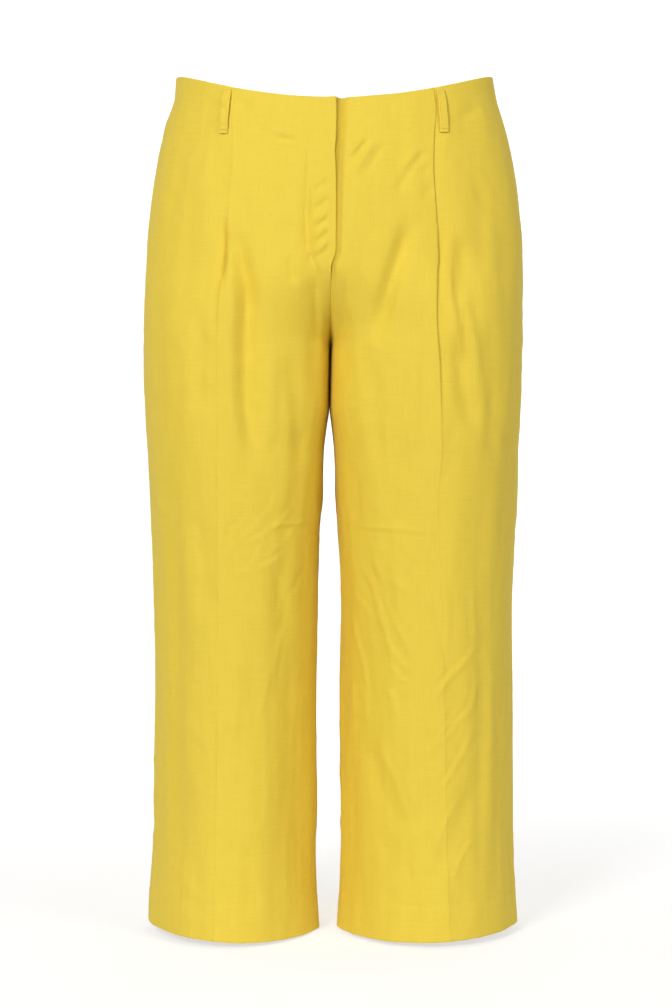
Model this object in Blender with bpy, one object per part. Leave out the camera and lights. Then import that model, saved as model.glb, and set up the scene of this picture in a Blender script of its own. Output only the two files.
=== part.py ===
"""Straight-leg trousers with a faced waist, pleated fronts and a lapped fly, filled out as if worn.

Frame: +Z up, the front faces -Y, the wearer's left is +X. The origin is the centre of the waist,
22.5 mm below its top edge at the sides, where the wearer holds the garment up.
All sizes are in millimetres until a mesh is made. Each cloth piece is a wall whose outer face runs
through closed sections, one for each leg; above the crotch the two sections run into one another.
"""
import math
from collections import namedtuple

import bmesh
import bpy

MM = 0.001

# Cloth and its seams
WALL = 1.3                  # one layer of cloth, as a solid wall
HEM_WALL = 2.0              # the turned-up hem
HEM_DEPTH = 37.0
FACED_WALL = 1.7            # the waist, with its facing pressed to it
FACING_DEPTH = 42.0
DOUBLED_FADE = 6.0          # length over which a doubled edge thins to one layer
SEAM_GAP = 0.3              # clear space between two pieces at a seam

# Edges
TOP_Z = 22.5                # top edge at the sides
FRONT_DIP = 39.6            # how much lower the top edge is at the centre front
FRONT_DIP_POWER = 2.15
BACK_RISE = 4.0             # how much higher it is at the centre back
DIP_FADE = 130.0            # length below the top edge over which the dip dies out
HEM_Z = -878.0
HEM_SLOPE = {"right": 0.047, "left": 0.031}     # rise of the hem towards its outer side
HEM_SLOPE_LENGTH = 118.0
CROTCH_Z = -265.5

# Outline of the garment. right and left are the half-widths to the outer sides, middle is the x of
# the plane between the halves, gap the space between the legs, and front and back the depths. outer
# and inner say how a leg's section turns at its outer and inner side: 1 is an ellipse, less is
# boxier, more is flatter and sharper.
Section = namedtuple("Section", "z right left middle gap front back outer inner")
SECTIONS = (
    Section(25.0, 169.0, 168.0, -1.0, 0.3, 113.0, 115.0, 0.83, 0.83),
    Section(0.0, 171.0, 172.0, -1.0, 0.3, 115.5, 119.0, 0.83, 0.83),
    Section(-30.0, 180.3, 180.5, -1.0, 0.3, 119.0, 127.0, 0.80, 0.83),
    Section(-70.0, 188.6, 189.0, -1.5, 0.3, 123.0, 139.0, 0.76, 0.83),
    Section(-120.0, 196.3, 196.0, -2.0, 0.3, 125.5, 149.0, 0.73, 0.83),
    Section(-160.0, 200.0, 199.0, -3.0, 0.3, 126.0, 152.0, 0.72, 0.78),
    Section(-200.0, 202.0, 199.3, -4.0, 0.3, 125.0, 151.0, 0.74, 0.62),
    Section(-265.5, 203.0, 199.2, -4.8, 0.3, 122.0, 143.0, 0.80, 0.50),
    Section(-300.0, 203.0, 198.8, -5.5, 0.6, 120.5, 138.0, 0.84, 0.52),
    Section(-345.0, 201.5, 197.6, -6.3, 2.2, 118.0, 131.0, 0.89, 0.56),
    Section(-372.0, 200.1, 195.6, -6.5, 10.0, 116.0, 128.0, 0.93, 0.62),
    Section(-415.0, 198.0, 194.6, -6.3, 14.0, 113.0, 123.0, 0.98, 0.72),
    Section(-460.0, 195.7, 192.2, -6.6, 19.0, 110.0, 119.0, 1.02, 0.85),
    Section(-545.0, 193.1, 189.2, -6.1, 23.8, 105.0, 113.0, 1.08, 1.00),
    Section(-630.0, 192.4, 189.6, -7.2, 25.4, 101.0, 109.0, 1.14, 1.10),
    Section(-757.0, 193.2, 190.0, -7.4, 24.6, 97.5, 106.0, 1.25, 1.22),
    Section(-800.0, 195.4, 191.3, -7.8, 25.6, 97.0, 105.5, 1.30, 1.28),
    Section(-845.0, 198.8, 193.8, -7.5, 23.6, 97.0, 105.0, 1.36, 1.34),
    Section(-885.0, 200.4, 196.4, -7.5, 18.6, 97.0, 105.0, 1.42, 1.38),
)

# How far the two leg sections have parted, from 0, one body, to 1, two legs. This draws the crotch
# seam: it drops down the front, sweeps under the body at CROTCH_Z and climbs the seat.
Parting = namedtuple("Parting", "z front back")
PARTINGS = (
    Parting(-60.0, 0.0, 0.0),
    Parting(-110.0, 0.05, 0.06),
    Parting(-155.0, 0.14, 0.34),
    Parting(-175.0, 0.22, 0.55),
    Parting(-190.0, 0.38, 0.70),
    Parting(-205.0, 0.62, 0.81),
    Parting(-220.0, 0.80, 0.89),
    Parting(-236.0, 0.915, 0.948),
    Parting(-248.0, 0.968, 0.977),
    Parting(-257.0, 0.991, 0.9925),
    Parting(-262.0, 0.9983, 0.9984),
    Parting(CROTCH_Z, 1.0, 1.0),
)

# How far forward of the outermost and innermost lines of a leg its two seams lie.
Seams = namedtuple("Seams", "z outseam inseam")
SEAM_PLACES = (
    Seams(25.0, 20.0, 0.0),
    Seams(-60.0, 14.0, 0.0),
    Seams(CROTCH_Z, 12.0, 0.0),
    Seams(-310.0, 12.0, 6.0),
    Seams(-450.0, 15.0, 14.0),
    Seams(-885.0, 26.0, 20.0),
)

# Front pleats, sewn at the waist and pressed down each leg. The cloth on the centre-front side
# stands proud by ridge at the line, and the cloth beyond it is lower by drop.
Pleat = namedtuple("Pleat", "z x ridge drop")
PLEATS = {
    "left": (
        Pleat(25.0, 97.5, 0.5, 0.7),
        Pleat(-66.0, 98.6, 0.7, 1.1),
        Pleat(-157.0, 104.2, 0.9, 1.3),
        Pleat(-236.0, 102.4, 0.9, 1.3),
        Pleat(-378.0, 107.4, 0.8, 0.9),
        Pleat(-545.0, 108.8, 0.8, 0.4),
        Pleat(-752.0, 113.3, 0.8, 0.3),
        Pleat(-885.0, 119.0, 0.6, 0.3),
    ),
    "right": (
        Pleat(25.0, -99.0, 0.1, 0.1),
        Pleat(-66.0, -103.0, 0.2, 0.2),
        Pleat(-130.0, -108.0, 0.3, 0.3),
        Pleat(-163.0, -108.6, 1.0, 1.4),
        Pleat(-210.0, -115.0, 0.9, 1.2),
        Pleat(-300.0, -119.0, 0.5, 0.4),
        Pleat(-545.0, -119.0, 0.5, 0.2),
        Pleat(-885.0, -124.0, 0.5, 0.2),
    ),
}
PLEAT_REACH = 13.0          # how far the cloth takes to settle on each side of the line
PLEAT_STEP = 1.2            # half the width of the step at the line

# Pressed creases down the back of each leg
BACK_CREASE_X = {"left": 100.0, "right": -106.0}
BACK_CREASE_HEIGHT = 0.7
BACK_CREASE_WIDTH = 7.0
BACK_CREASE_TOP = -190.0
BACK_CREASE_FADE = 90.0

# Lapped fly: the right front laps over the left one, which runs on under it.
FLY_LAPS = ((25.0, 2.2), (-100.0, 3.0), (-174.0, 4.3), (-190.0, -SEAM_GAP / 2))
UNDERLAP = 10.0             # how far the left front runs on behind the lap's edge
UNDERLAP_END = -196.0
LAP_RAISE = 0.8
LAP_RAISE_WIDTH = 26.0
UNDERLAP_DROP = 2.7
RECESS_WIDTH = 9.0          # from the lap's edge to where the left front is level again
FLY_RELIEF_END = -215.0

# Largest folds, each a soft ridge or trough along a line from (x0, z0) to (x1, z1) on one face.
# bow is how far its middle is to the side of that line.
Fold = namedtuple("Fold", "face x0 z0 x1 z1 bow width height")
FOLDS = (
    Fold("front", -27.0, -163.0, -10.0, -262.0, -4.0, 9.0, -2.6),
    Fold("front", 14.0, -200.0, 6.0, -262.0, 2.0, 8.0, -1.2),
    Fold("front", 70.0, -149.0, 37.0, -265.0, 0.0, 10.0, -1.6),
    Fold("front", 128.0, -155.0, 127.0, -240.0, 2.0, 9.0, -1.2),
    Fold("front", 121.0, -254.0, 142.0, -365.0, 0.0, 11.0, -1.5),
    Fold("front", -100.0, -160.0, -94.0, -315.0, 8.0, 9.0, -2.0),
    Fold("front", -60.0, -427.0, -110.0, -485.0, 3.0, 11.0, 1.7),
    Fold("front", -28.0, -442.0, -92.0, -502.0, 3.0, 11.0, 1.7),
    Fold("front", -138.0, -420.0, -130.0, -556.0, 2.0, 10.0, -1.3),
    Fold("front", -60.0, -487.0, -52.0, -575.0, 0.0, 10.0, -1.3),
    Fold("front", -52.0, -560.0, -44.0, -862.0, 4.0, 17.0, -2.0),
    Fold("front", -92.0, -770.0, -86.0, -850.0, 0.0, 10.0, -1.0),
    Fold("front", 18.0, -468.0, 82.0, -605.0, 4.0, 12.0, -1.8),
    Fold("front", 145.0, -573.0, 88.0, -637.0, 2.0, 11.0, -1.4),
    Fold("front", 148.0, -608.0, 90.0, -687.0, 2.0, 11.0, -1.8),
    Fold("front", 23.0, -660.0, 68.0, -766.0, -2.0, 11.0, -1.6),
    Fold("front", 148.0, -706.0, 88.0, -828.0, 3.0, 12.0, -1.8),
    Fold("back", -160.0, -225.0, -62.0, -318.0, 6.0, 14.0, -2.2),
    Fold("back", 152.0, -232.0, 58.0, -312.0, -6.0, 14.0, -2.0),
    Fold("back", -148.0, -300.0, -74.0, -372.0, 4.0, 13.0, -1.5),
    Fold("back", 60.0, -340.0, 146.0, -402.0, 3.0, 13.0, -1.6),
    Fold("back", -156.0, -432.0, -66.0, -476.0, 4.0, 12.0, -1.9),
    Fold("back", 52.0, -448.0, 140.0, -498.0, -4.0, 12.0, -1.8),
    Fold("back", -62.0, -520.0, -142.0, -592.0, 3.0, 13.0, -1.6),
    Fold("back", 142.0, -556.0, 66.0, -640.0, 3.0, 13.0, -1.7),
    Fold("back", -140.0, -690.0, -84.0, -800.0, -3.0, 13.0, -1.4),
    Fold("back", 60.0, -700.0, 118.0, -806.0, 3.0, 13.0, -1.5),
)

# Folds and pleats die out towards the side seams, over these shares of the way round to the front.
RELIEF_START = 0.12
RELIEF_FADE = 0.3

# Belt loops: where each lies, from its top end to its bottom end
LOOP_WIDTH = 8.4
LOOP_THICKNESS = 1.5
LOOP_SEAT = 0.3             # clearance under its sewn ends
LOOP_BOW = 2.0              # how far its middle stands off
LOOP_RISE = 0.35            # share of its length over which it rises from each end
Loop = namedtuple("Loop", "name face top_x top_z bottom_x bottom_z")
LOOPS = (
    Loop("belt_loop_front_right", "front", -109.2, -7.5, -112.8, -53.4),
    Loop("belt_loop_front_left", "front", 105.9, -7.5, 111.2, -52.3),
    Loop("belt_loop_back_right", "back", -104.0, 22.5, -106.0, -23.5),
    Loop("belt_loop_back_centre", "back", -1.5, 24.8, -1.5, -21.5),
    Loop("belt_loop_back_left", "back", 104.0, 22.5, 106.0, -23.5),
)

# Pieces behind the fly. x is measured from the plane between the halves, and depth is how far the
# outer face lies behind the bare surface of the fronts.
Inlay = namedtuple("Inlay", "name x0 x1 top bottom depth thickness material")
INLAYS = (
    Inlay("waist_hook", -5.5, 1.0, -24.0, -33.0, 1.3, 0.9, "steel"),
    Inlay("zip_slider", -15.0, -8.7, -38.0, -47.0, 2.5, 2.2, "steel"),
    Inlay("fly_zip", -21.0, 5.0, -36.0, -180.0, 5.3, 1.2, "zip"),
    Inlay("fly_shield", -26.0, 12.0, -22.0, -189.0, 6.8, 1.3, "cloth"),
)

# Rows of points from the top edge to the hem: each band ends at a height and has so many steps.
ROW_BANDS = ((-20.0, 2), (-100.0, 5), (-160.0, 4), (-190.0, 4), (UNDERLAP_END, 1), (-215.0, 2),
             (-236.0, 2), (-254.0, 2), (-258.5, 1), (-263.5, 2), (-264.7, 1), (CROTCH_Z, 1),
             (-268.0, 1), (-275.0, 1), (-310.0, 2), (-400.0, 4), (-560.0, 8), (-838.0, 11),
             (-842.0, 1), (HEM_Z, 1))
# Columns of points: steps across a front on each side of its pleat, and across a back on each side
# of its pressed crease. Beside the fly the columns keep fixed distances from the edge.
STEPS_INSIDE_PLEAT = 9
STEPS_OUTSIDE_PLEAT = 6
STEPS_OUTSIDE_CREASE = 5
STEPS_INSIDE_CREASE = 7
FLY_COLUMNS = (0.0, 8.5, 12.0, 16.0)
FLY_COLUMNS_END = -200.0
FLY_COLUMNS_FADE = 30.0
CROWDING = 0.9              # share of the room that columns may give up beside the crotch seam
MOST_CROWDING = 5.0

MATERIALS = {
    # name: (colour, roughness, metallic)
    "cloth": ((0.80, 0.62, 0.085, 1.0), 0.85, 0.0),
    "zip": ((0.74, 0.56, 0.08, 1.0), 0.7, 0.0),
    "steel": ((0.62, 0.62, 0.60, 1.0), 0.35, 1.0),
}


def smooth(t):
    """0 before t = 0, 1 after t = 1, and a soft step between."""
    t = min(1.0, max(0.0, t))
    return t * t * (3.0 - 2.0 * t)


def curve_through(points):
    """A smooth curve through (position, value) points that never runs past them."""
    points = sorted(points)
    places = [place for place, _ in points]
    values = [value for _, value in points]
    spans = [b - a for a, b in zip(places, places[1:])]
    rises = [(b - a) / span for a, b, span in zip(values, values[1:], spans)]
    slopes = [rises[0]]
    for before, after in zip(rises, rises[1:]):
        slopes.append(0.0 if before * after <= 0.0 else 2.0 * before * after / (before + after))
    slopes.append(rises[-1])

    def value_at(place):
        if place <= places[0]:
            return values[0]
        if place >= places[-1]:
            return values[-1]
        i = max(k for k, known in enumerate(places) if known <= place)
        t = (place - places[i]) / spans[i]
        start = (2 * t**3 - 3 * t**2 + 1) * values[i] + (t**3 - 2 * t**2 + t) * spans[i] * slopes[i]
        end = (3 * t**2 - 2 * t**3) * values[i + 1] + (t**3 - t**2) * spans[i] * slopes[i + 1]
        return start + end

    return value_at


def curves_of(rows):
    """One curve over z for each named column of a table."""
    names = [name for name in rows[0]._fields if name != "z"]
    return {name: curve_through([(row.z, getattr(row, name)) for row in rows]) for name in names}


SIZE = curves_of(SECTIONS)
PARTED = curves_of(PARTINGS)
SEAM = curves_of(SEAM_PLACES)
PLEAT = {side: curves_of(rows) for side, rows in PLEATS.items()}
FLY_LAP = curve_through(FLY_LAPS)
SIGN = {"right": -1.0, "left": 1.0}


def half_ring(side, z, face):
    """Centre and half-width of one half's section, measured out from the middle plane."""
    width = SIZE[side](z) - SIGN[side] * SIZE["middle"](z)
    centre = (width + SIZE["gap"](z) / 2) * PARTED[face](z) / 2
    return centre, width - centre


def bare_point(side, z, turn):
    """A point of the unfolded surface. turn is 0 on the inner side of a leg, a quarter turn at its
    front, a half turn on its outer side and three quarters at its back."""
    face = "front" if math.sin(turn) >= 0.0 else "back"
    centre, half_width = half_ring(side, z, face)
    out = centre - half_width * math.cos(turn)
    turning = SIZE["inner" if math.cos(turn) > 0.0 else "outer"](z)
    depth = SIZE[face](z) * abs(math.sin(turn)) ** turning
    y = -depth if face == "front" else depth
    return (SIZE["middle"](z) + SIGN[side] * out, y, z)


def outward(side, z, turn):
    """Unit normal of the bare surface, from points a small turn and a small rise apart."""
    step, rise = 0.03, 1.5
    ax, ay, az = (b - a for a, b in zip(bare_point(side, z, turn - step),
                                        bare_point(side, z, turn + step)))
    bx, by, bz = (b - a for a, b in zip(bare_point(side, z - rise, turn),
                                        bare_point(side, z + rise, turn)))
    nx, ny, nz = ay * bz - az * by, az * bx - ax * bz, ax * by - ay * bx
    length = -SIGN[side] * math.sqrt(nx * nx + ny * ny + nz * nz)
    return (-nx / length, -ny / length, -nz / length)


def turn_at(side, z, face, out):
    """The turn whose point lies at a distance out from the middle plane."""
    centre, half_width = half_ring(side, z, face)
    turn = math.acos(min(1.0, max(-1.0, (centre - out) / half_width)))
    return turn if face == "front" else 2.0 * math.pi - turn


def fold_height(face, x, z):
    """Height of all the folds of one face at a point."""
    height = 0.0
    for fold in FOLDS:
        run_x, run_z = fold.x1 - fold.x0, fold.z1 - fold.z0
        length = math.hypot(run_x, run_z)
        along = ((x - fold.x0) * run_x + (z - fold.z0) * run_z) / length**2
        if fold.face != face or not 0.0 < along < 1.0:
            continue
        across = ((z - fold.z0) * run_x - (x - fold.x0) * run_z) / length
        across -= 4.0 * fold.bow * along * (1.0 - along)
        height += fold.height * math.sin(math.pi * along) * math.exp(-(across / fold.width) ** 2)
    return height


def pleat_height(side, x, z):
    """Height of a front's pleat: proud on the centre-front side of its line, low beyond it."""
    beyond = SIGN[side] * (x - PLEAT[side]["x"](z))
    ridge = PLEAT[side]["ridge"](z) * (1.0 - smooth(-beyond / PLEAT_REACH))
    drop = -PLEAT[side]["drop"](z) * (1.0 - smooth(beyond / PLEAT_REACH))
    step = smooth((beyond + PLEAT_STEP) / (2.0 * PLEAT_STEP))
    return ridge * (1.0 - step) + drop * step


def fly_height(side, out, z):
    """Height of the fly: the right front is raised at its lap, the left one sinks under it."""
    fade = 1.0 - smooth((UNDERLAP_END - z) / (UNDERLAP_END - FLY_RELIEF_END))
    if side == "right":
        return LAP_RAISE * fade * (1.0 - smooth(out / LAP_RAISE_WIDTH))
    lap = max(0.0, FLY_LAP(z))
    level = smooth((out - lap - 2.0) / (RECESS_WIDTH - 2.0))
    return -UNDERLAP_DROP * fade * (1.0 - level)


def relief(side, point, turn):
    """How far the real surface stands out from the bare one."""
    x, _, z = point
    facing = smooth((abs(math.sin(turn)) - RELIEF_START) / RELIEF_FADE)
    if math.sin(turn) < 0.0:
        strength = smooth((BACK_CREASE_TOP - z) / BACK_CREASE_FADE)
        across = (x - BACK_CREASE_X[side]) / BACK_CREASE_WIDTH
        crease = BACK_CREASE_HEIGHT * strength * math.exp(-across**2)
        return facing * (crease + fold_height("back", x, z))
    out = SIGN[side] * (x - SIZE["middle"](z))
    height = facing * (pleat_height(side, x, z) + fold_height("front", x, z))
    if z > FLY_RELIEF_END:
        height += fly_height(side, out, z)
    return height


def moved(point, normal, distance):
    return tuple(p + n * distance for p, n in zip(point, normal))


def dipped(side, row_z, turn):
    """The real height of a row: the top edge dips at the front, and each hem slopes."""
    z = row_z
    for _ in range(2):
        x, y, _ = bare_point(side, z, turn)
        if y < 0.0:
            dip = -FRONT_DIP * (-y / SIZE["front"](0.0)) ** FRONT_DIP_POWER
        else:
            dip = BACK_RISE * (y / SIZE["back"](0.0)) ** 2
        z = row_z + dip * (1.0 - smooth((TOP_Z - row_z) / DIP_FADE))
    centre, _ = half_ring(side, z, "front")
    out = SIGN[side] * (x - SIZE["middle"](z)) - centre
    slope = HEM_SLOPE[side] * out * smooth((HEM_Z + HEM_SLOPE_LENGTH - row_z) / HEM_SLOPE_LENGTH)
    return z + slope


def wall_thickness(row_z):
    """One layer of cloth, but doubled at the faced waist and the turned-up hem."""
    faced = 1.0 - smooth((TOP_Z - row_z - FACING_DEPTH) / DOUBLED_FADE)
    turned_up = 1.0 - smooth((row_z - HEM_Z - HEM_DEPTH) / DOUBLED_FADE)
    return WALL + (FACED_WALL - WALL) * faced + (HEM_WALL - WALL) * turned_up


def row_heights():
    heights = [TOP_Z]
    for end, steps in ROW_BANDS:
        start = heights[-1]
        heights += [start + (end - start) * (k + 1) / steps for k in range(steps)]
    return heights


class Girth:
    """Distances along one section, so that columns can be spaced evenly round it."""

    FIRST, LAST, STEPS = -0.6, 2.0 * math.pi + 0.6, 480

    def __init__(self, side, z):
        span = self.LAST - self.FIRST
        self.turns = [self.FIRST + span * k / self.STEPS for k in range(self.STEPS + 1)]
        points = [bare_point(side, z, turn) for turn in self.turns]
        self.lengths = [0.0]
        for a, b in zip(points, points[1:]):
            self.lengths.append(self.lengths[-1] + math.dist(a, b))

    @staticmethod
    def between(value, knowns, results):
        low, high = 0, len(knowns) - 1
        while high - low > 1:
            half = (low + high) // 2
            low, high = (half, high) if knowns[half] <= value else (low, half)
        part = (value - knowns[low]) / (knowns[high] - knowns[low])
        return results[low] + (results[high] - results[low]) * part

    def length(self, turn):
        return self.between(turn, self.turns, self.lengths)

    def turn(self, length):
        return self.between(length, self.lengths, self.turns)


def even(start, end, steps):
    return [start + (end - start) * k / steps for k in range(steps + 1)]


def crowded(start, whole_end, end, steps):
    """Columns from start to end that keep the even places of a run to whole_end as long as they
    can, and draw together only near the seam that cuts the run short."""
    whole = whole_end - start
    cut = whole_end - end
    power = min(MOST_CROWDING, max(1.0, CROWDING * abs(whole) / max(abs(cut), 1e-6)))
    shares = even(0.0, 1.0, steps)
    return [start + whole * share - cut * share**power for share in shares]


def front_columns(side, z, girth):
    """Distances round a section of a front's columns, from the centre front or inseam outwards."""
    half_gap = SEAM_GAP / 2
    if z > CROTCH_Z:
        out = half_gap
        if side == "right":
            out = -FLY_LAP(z)
        elif z > UNDERLAP_END:
            out = max(FLY_LAP(z), 0.0) - UNDERLAP
        first = girth.length(turn_at(side, z, "front", out))
    else:
        first = girth.length(0.0) + SEAM["inseam"](z) + half_gap
    last = girth.length(math.pi) - SEAM["outseam"](z) - half_gap
    pleat = girth.length(turn_at(side, z, "front", abs(PLEAT[side]["x"](z) - SIZE["middle"](z))))
    inside = crowded(pleat - PLEAT_STEP, girth.length(0.0), first, STEPS_INSIDE_PLEAT)[::-1]
    beside_fly = 1.0 - smooth((FLY_COLUMNS_END - z) / FLY_COLUMNS_FADE)
    for k, distance in enumerate(FLY_COLUMNS):
        inside[k] += (first + distance - inside[k]) * beside_fly
    return inside + even(pleat + PLEAT_STEP, last, STEPS_OUTSIDE_PLEAT)


def back_columns(side, z, girth):
    """Distances round a section of a back's columns, from the outseam to the centre back or inseam."""
    half_gap = SEAM_GAP / 2
    first = girth.length(math.pi) - SEAM["outseam"](z) + half_gap
    if z > CROTCH_Z:
        last = girth.length(turn_at(side, z, "back", half_gap))
    else:
        last = girth.length(2.0 * math.pi) + SEAM["inseam"](z) - half_gap
    crease = girth.length(turn_at(side, z, "back", abs(BACK_CREASE_X[side] - SIZE["middle"](z))))
    inside = crowded(crease, girth.length(2.0 * math.pi), last, STEPS_INSIDE_CREASE)
    return even(first, crease, STEPS_OUTSIDE_CREASE) + inside[1:]


def panel(name, side, columns_of):
    """A front or back of one leg: a wall from the top edge to the hem."""
    outer, inner = [], []
    for row_z in row_heights():
        girth = Girth(side, row_z)
        outer_row, inner_row = [], []
        for length in columns_of(side, row_z, girth):
            turn = girth.turn(length)
            z = dipped(side, row_z, turn)
            point = bare_point(side, z, turn)
            normal = outward(side, z, turn)
            height = relief(side, point, turn)
            outer_row.append(moved(point, normal, height))
            inner_row.append(moved(point, normal, height - wall_thickness(row_z)))
        outer.append(outer_row)
        inner.append(inner_row)
    wall(name, outer, inner, "cloth")


def skin(face, x, z, with_relief):
    """Point and normal of the cloth's outer face at x and z."""
    middle = SIZE["middle"](z)
    side = "left" if x >= middle else "right"
    turn = turn_at(side, z, face, abs(x - middle))
    point = bare_point(side, z, turn)
    normal = outward(side, z, turn)
    if with_relief:
        point = moved(point, normal, relief(side, point, turn))
    return point, normal


def belt_loop(loop, steps=8):
    """A strip of doubled cloth, sewn flat at both ends and bowed between them."""
    outer, inner = [], []
    for k in range(steps + 1):
        t = k / steps
        x = loop.top_x + (loop.bottom_x - loop.top_x) * t
        z = loop.top_z + (loop.bottom_z - loop.top_z) * t
        lift = LOOP_SEAT + LOOP_BOW * smooth(t / LOOP_RISE) * smooth((1.0 - t) / LOOP_RISE)
        outer_row, inner_row = [], []
        for across in (-0.5, 0.0, 0.5):
            point, normal = skin(loop.face, x + across * LOOP_WIDTH, z, True)
            inner_row.append(moved(point, normal, lift))
            outer_row.append(moved(point, normal, lift + LOOP_THICKNESS))
        outer.append(outer_row)
        inner.append(inner_row)
    wall(loop.name, outer, inner, "cloth")


def inlay(piece, steps=6, strips=4):
    """A flat piece that lies behind the fronts and follows their surface."""
    outer, inner = [], []
    for z in even(piece.top, piece.bottom, steps):
        outer_row, inner_row = [], []
        for x in even(piece.x0, piece.x1, strips):
            point, normal = skin("front", SIZE["middle"](z) + x, z, False)
            outer_row.append(moved(point, normal, -piece.depth))
            inner_row.append(moved(point, normal, -piece.depth - piece.thickness))
        outer.append(outer_row)
        inner.append(inner_row)
    wall(piece.name, outer, inner, piece.material)


def wall(name, outer, inner, material):
    """A closed solid between two sheets of points of equal rows and columns."""
    mesh = bpy.data.meshes.new(name)
    shape = bmesh.new()
    sheets = [[[shape.verts.new([c * MM for c in point]) for point in row] for row in sheet]
              for sheet in (outer, inner)]
    last_row, last_column = len(outer) - 1, len(outer[0]) - 1
    for sheet in sheets:
        for upper, lower in zip(sheet, sheet[1:]):
            for j in range(last_column):
                shape.faces.new((upper[j], upper[j + 1], lower[j + 1], lower[j]))
    border = [(0, j) for j in range(last_column)]
    border += [(i, last_column) for i in range(last_row)]
    border += [(last_row, j) for j in range(last_column, 0, -1)]
    border += [(i, 0) for i in range(last_row, 0, -1)]
    for (i0, j0), (i1, j1) in zip(border, border[1:] + border[:1]):
        shape.faces.new((sheets[0][i0][j0], sheets[0][i1][j1], sheets[1][i1][j1], sheets[1][i0][j0]))
    bmesh.ops.recalc_face_normals(shape, faces=shape.faces[:])
    shape.to_mesh(mesh)
    shape.free()
    mesh.shade_smooth()
    mesh.set_sharp_from_angle(angle=math.radians(50.0))
    mesh.materials.append(material_named(name, material))
    collection.objects.link(bpy.data.objects.new(name, mesh))


def material_named(name, kind):
    """A material of its own for each piece, in the colour of its kind."""
    colour, roughness, metallic = MATERIALS[kind]
    material = bpy.data.materials.new(f"{name}_{kind}")
    material.use_nodes = True
    shader = material.node_tree.nodes["Principled BSDF"]
    shader.inputs["Base Color"].default_value = colour
    shader.inputs["Roughness"].default_value = roughness
    shader.inputs["Metallic"].default_value = metallic
    material.diffuse_color = colour
    return material


for old in list(bpy.data.objects):
    bpy.data.objects.remove(old, do_unlink=True)
collection = bpy.data.collections.new("straight_leg_trousers")
bpy.context.scene.collection.children.link(collection)

for half in ("right", "left"):
    panel(f"front_{half}", half, front_columns)
    panel(f"back_{half}", half, back_columns)
for belt_loop_place in LOOPS:
    belt_loop(belt_loop_place)
for hidden_piece in INLAYS:
    inlay(hidden_piece)
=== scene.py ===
import math
from collections import namedtuple

import bmesh
import bpy
import numpy as np
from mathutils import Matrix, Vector


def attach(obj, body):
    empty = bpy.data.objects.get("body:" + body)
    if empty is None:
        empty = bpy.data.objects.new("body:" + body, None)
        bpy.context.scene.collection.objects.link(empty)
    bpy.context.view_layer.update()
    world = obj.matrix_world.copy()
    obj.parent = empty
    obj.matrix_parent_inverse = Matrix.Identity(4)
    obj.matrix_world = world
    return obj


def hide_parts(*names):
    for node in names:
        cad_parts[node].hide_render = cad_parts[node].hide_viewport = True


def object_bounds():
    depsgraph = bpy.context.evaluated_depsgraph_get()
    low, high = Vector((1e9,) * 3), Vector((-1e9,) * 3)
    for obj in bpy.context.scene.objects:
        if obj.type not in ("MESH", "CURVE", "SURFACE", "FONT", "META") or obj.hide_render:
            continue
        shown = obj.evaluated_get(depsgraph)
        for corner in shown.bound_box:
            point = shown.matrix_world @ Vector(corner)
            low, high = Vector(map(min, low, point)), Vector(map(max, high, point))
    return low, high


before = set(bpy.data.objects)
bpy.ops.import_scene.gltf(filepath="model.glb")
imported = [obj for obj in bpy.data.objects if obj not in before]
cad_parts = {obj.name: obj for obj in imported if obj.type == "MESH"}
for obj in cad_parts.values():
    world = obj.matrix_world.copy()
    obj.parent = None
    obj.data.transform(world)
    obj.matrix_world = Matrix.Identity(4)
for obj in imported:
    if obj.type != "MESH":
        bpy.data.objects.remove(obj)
solid_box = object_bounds()


# ---- Studio -------------------------------------------------------------------------------------
# A white sweep that runs from the floor up into the backdrop, one broad light beside the camera and
# softer ones round the garment. The camera looks level at the middle of the legs, as in the photo.
CAMERA_PLACE = (0.00107, -2.1, -0.430)
LENS, SENSOR = 70.1, 36.0

scene = bpy.context.scene
scene.view_settings.view_transform = "Standard"
scene.view_settings.look = "None"

camera = bpy.data.objects.new("camera", bpy.data.cameras.new("camera"))
camera.data.lens = LENS
camera.data.sensor_width = SENSOR
camera.location = CAMERA_PLACE
camera.rotation_euler = (math.radians(90.0), 0.0, 0.0)
scene.collection.objects.link(camera)
scene.camera = camera

FLOOR_GAP = 0.0012
SWEEP_WIDTH, SWEEP_FRONT, SWEEP_BACK = 16.0, 0.55, 4.0
SWEEP_BEND, SWEEP_BEND_STEPS, SWEEP_TOP = 2.5, 16, 7.0
floor_level = solid_box[0][2] - FLOOR_GAP
sweep = bmesh.new()
edge = sweep.verts.new((-SWEEP_WIDTH / 2, -SWEEP_FRONT, floor_level))
run = bmesh.ops.extrude_vert_indiv(sweep, verts=[edge])["verts"]
bmesh.ops.translate(sweep, verts=run, vec=(0.0, SWEEP_FRONT + SWEEP_BACK, 0.0))
bmesh.ops.spin(sweep, geom=run, cent=(0.0, SWEEP_BACK, floor_level + SWEEP_BEND), axis=(1.0, 0.0, 0.0),
               angle=math.radians(90.0), steps=SWEEP_BEND_STEPS)
sweep.verts.ensure_lookup_table()
rise = bmesh.ops.extrude_vert_indiv(sweep, verts=[sweep.verts[-1]])["verts"]
bmesh.ops.translate(sweep, verts=rise, vec=(0.0, 0.0, SWEEP_TOP))
across = bmesh.ops.extrude_edge_only(sweep, edges=sweep.edges[:])["geom"]
across = [part for part in across if isinstance(part, bmesh.types.BMVert)]
bmesh.ops.translate(sweep, verts=across, vec=(SWEEP_WIDTH, 0.0, 0.0))
bmesh.ops.recalc_face_normals(sweep, faces=sweep.faces[:])
floor_mesh = bpy.data.meshes.new("floor")
sweep.to_mesh(floor_mesh)
sweep.free()
floor_mesh.shade_smooth()
floor = bpy.data.objects.new("floor", floor_mesh)
scene.collection.objects.link(floor)


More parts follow.
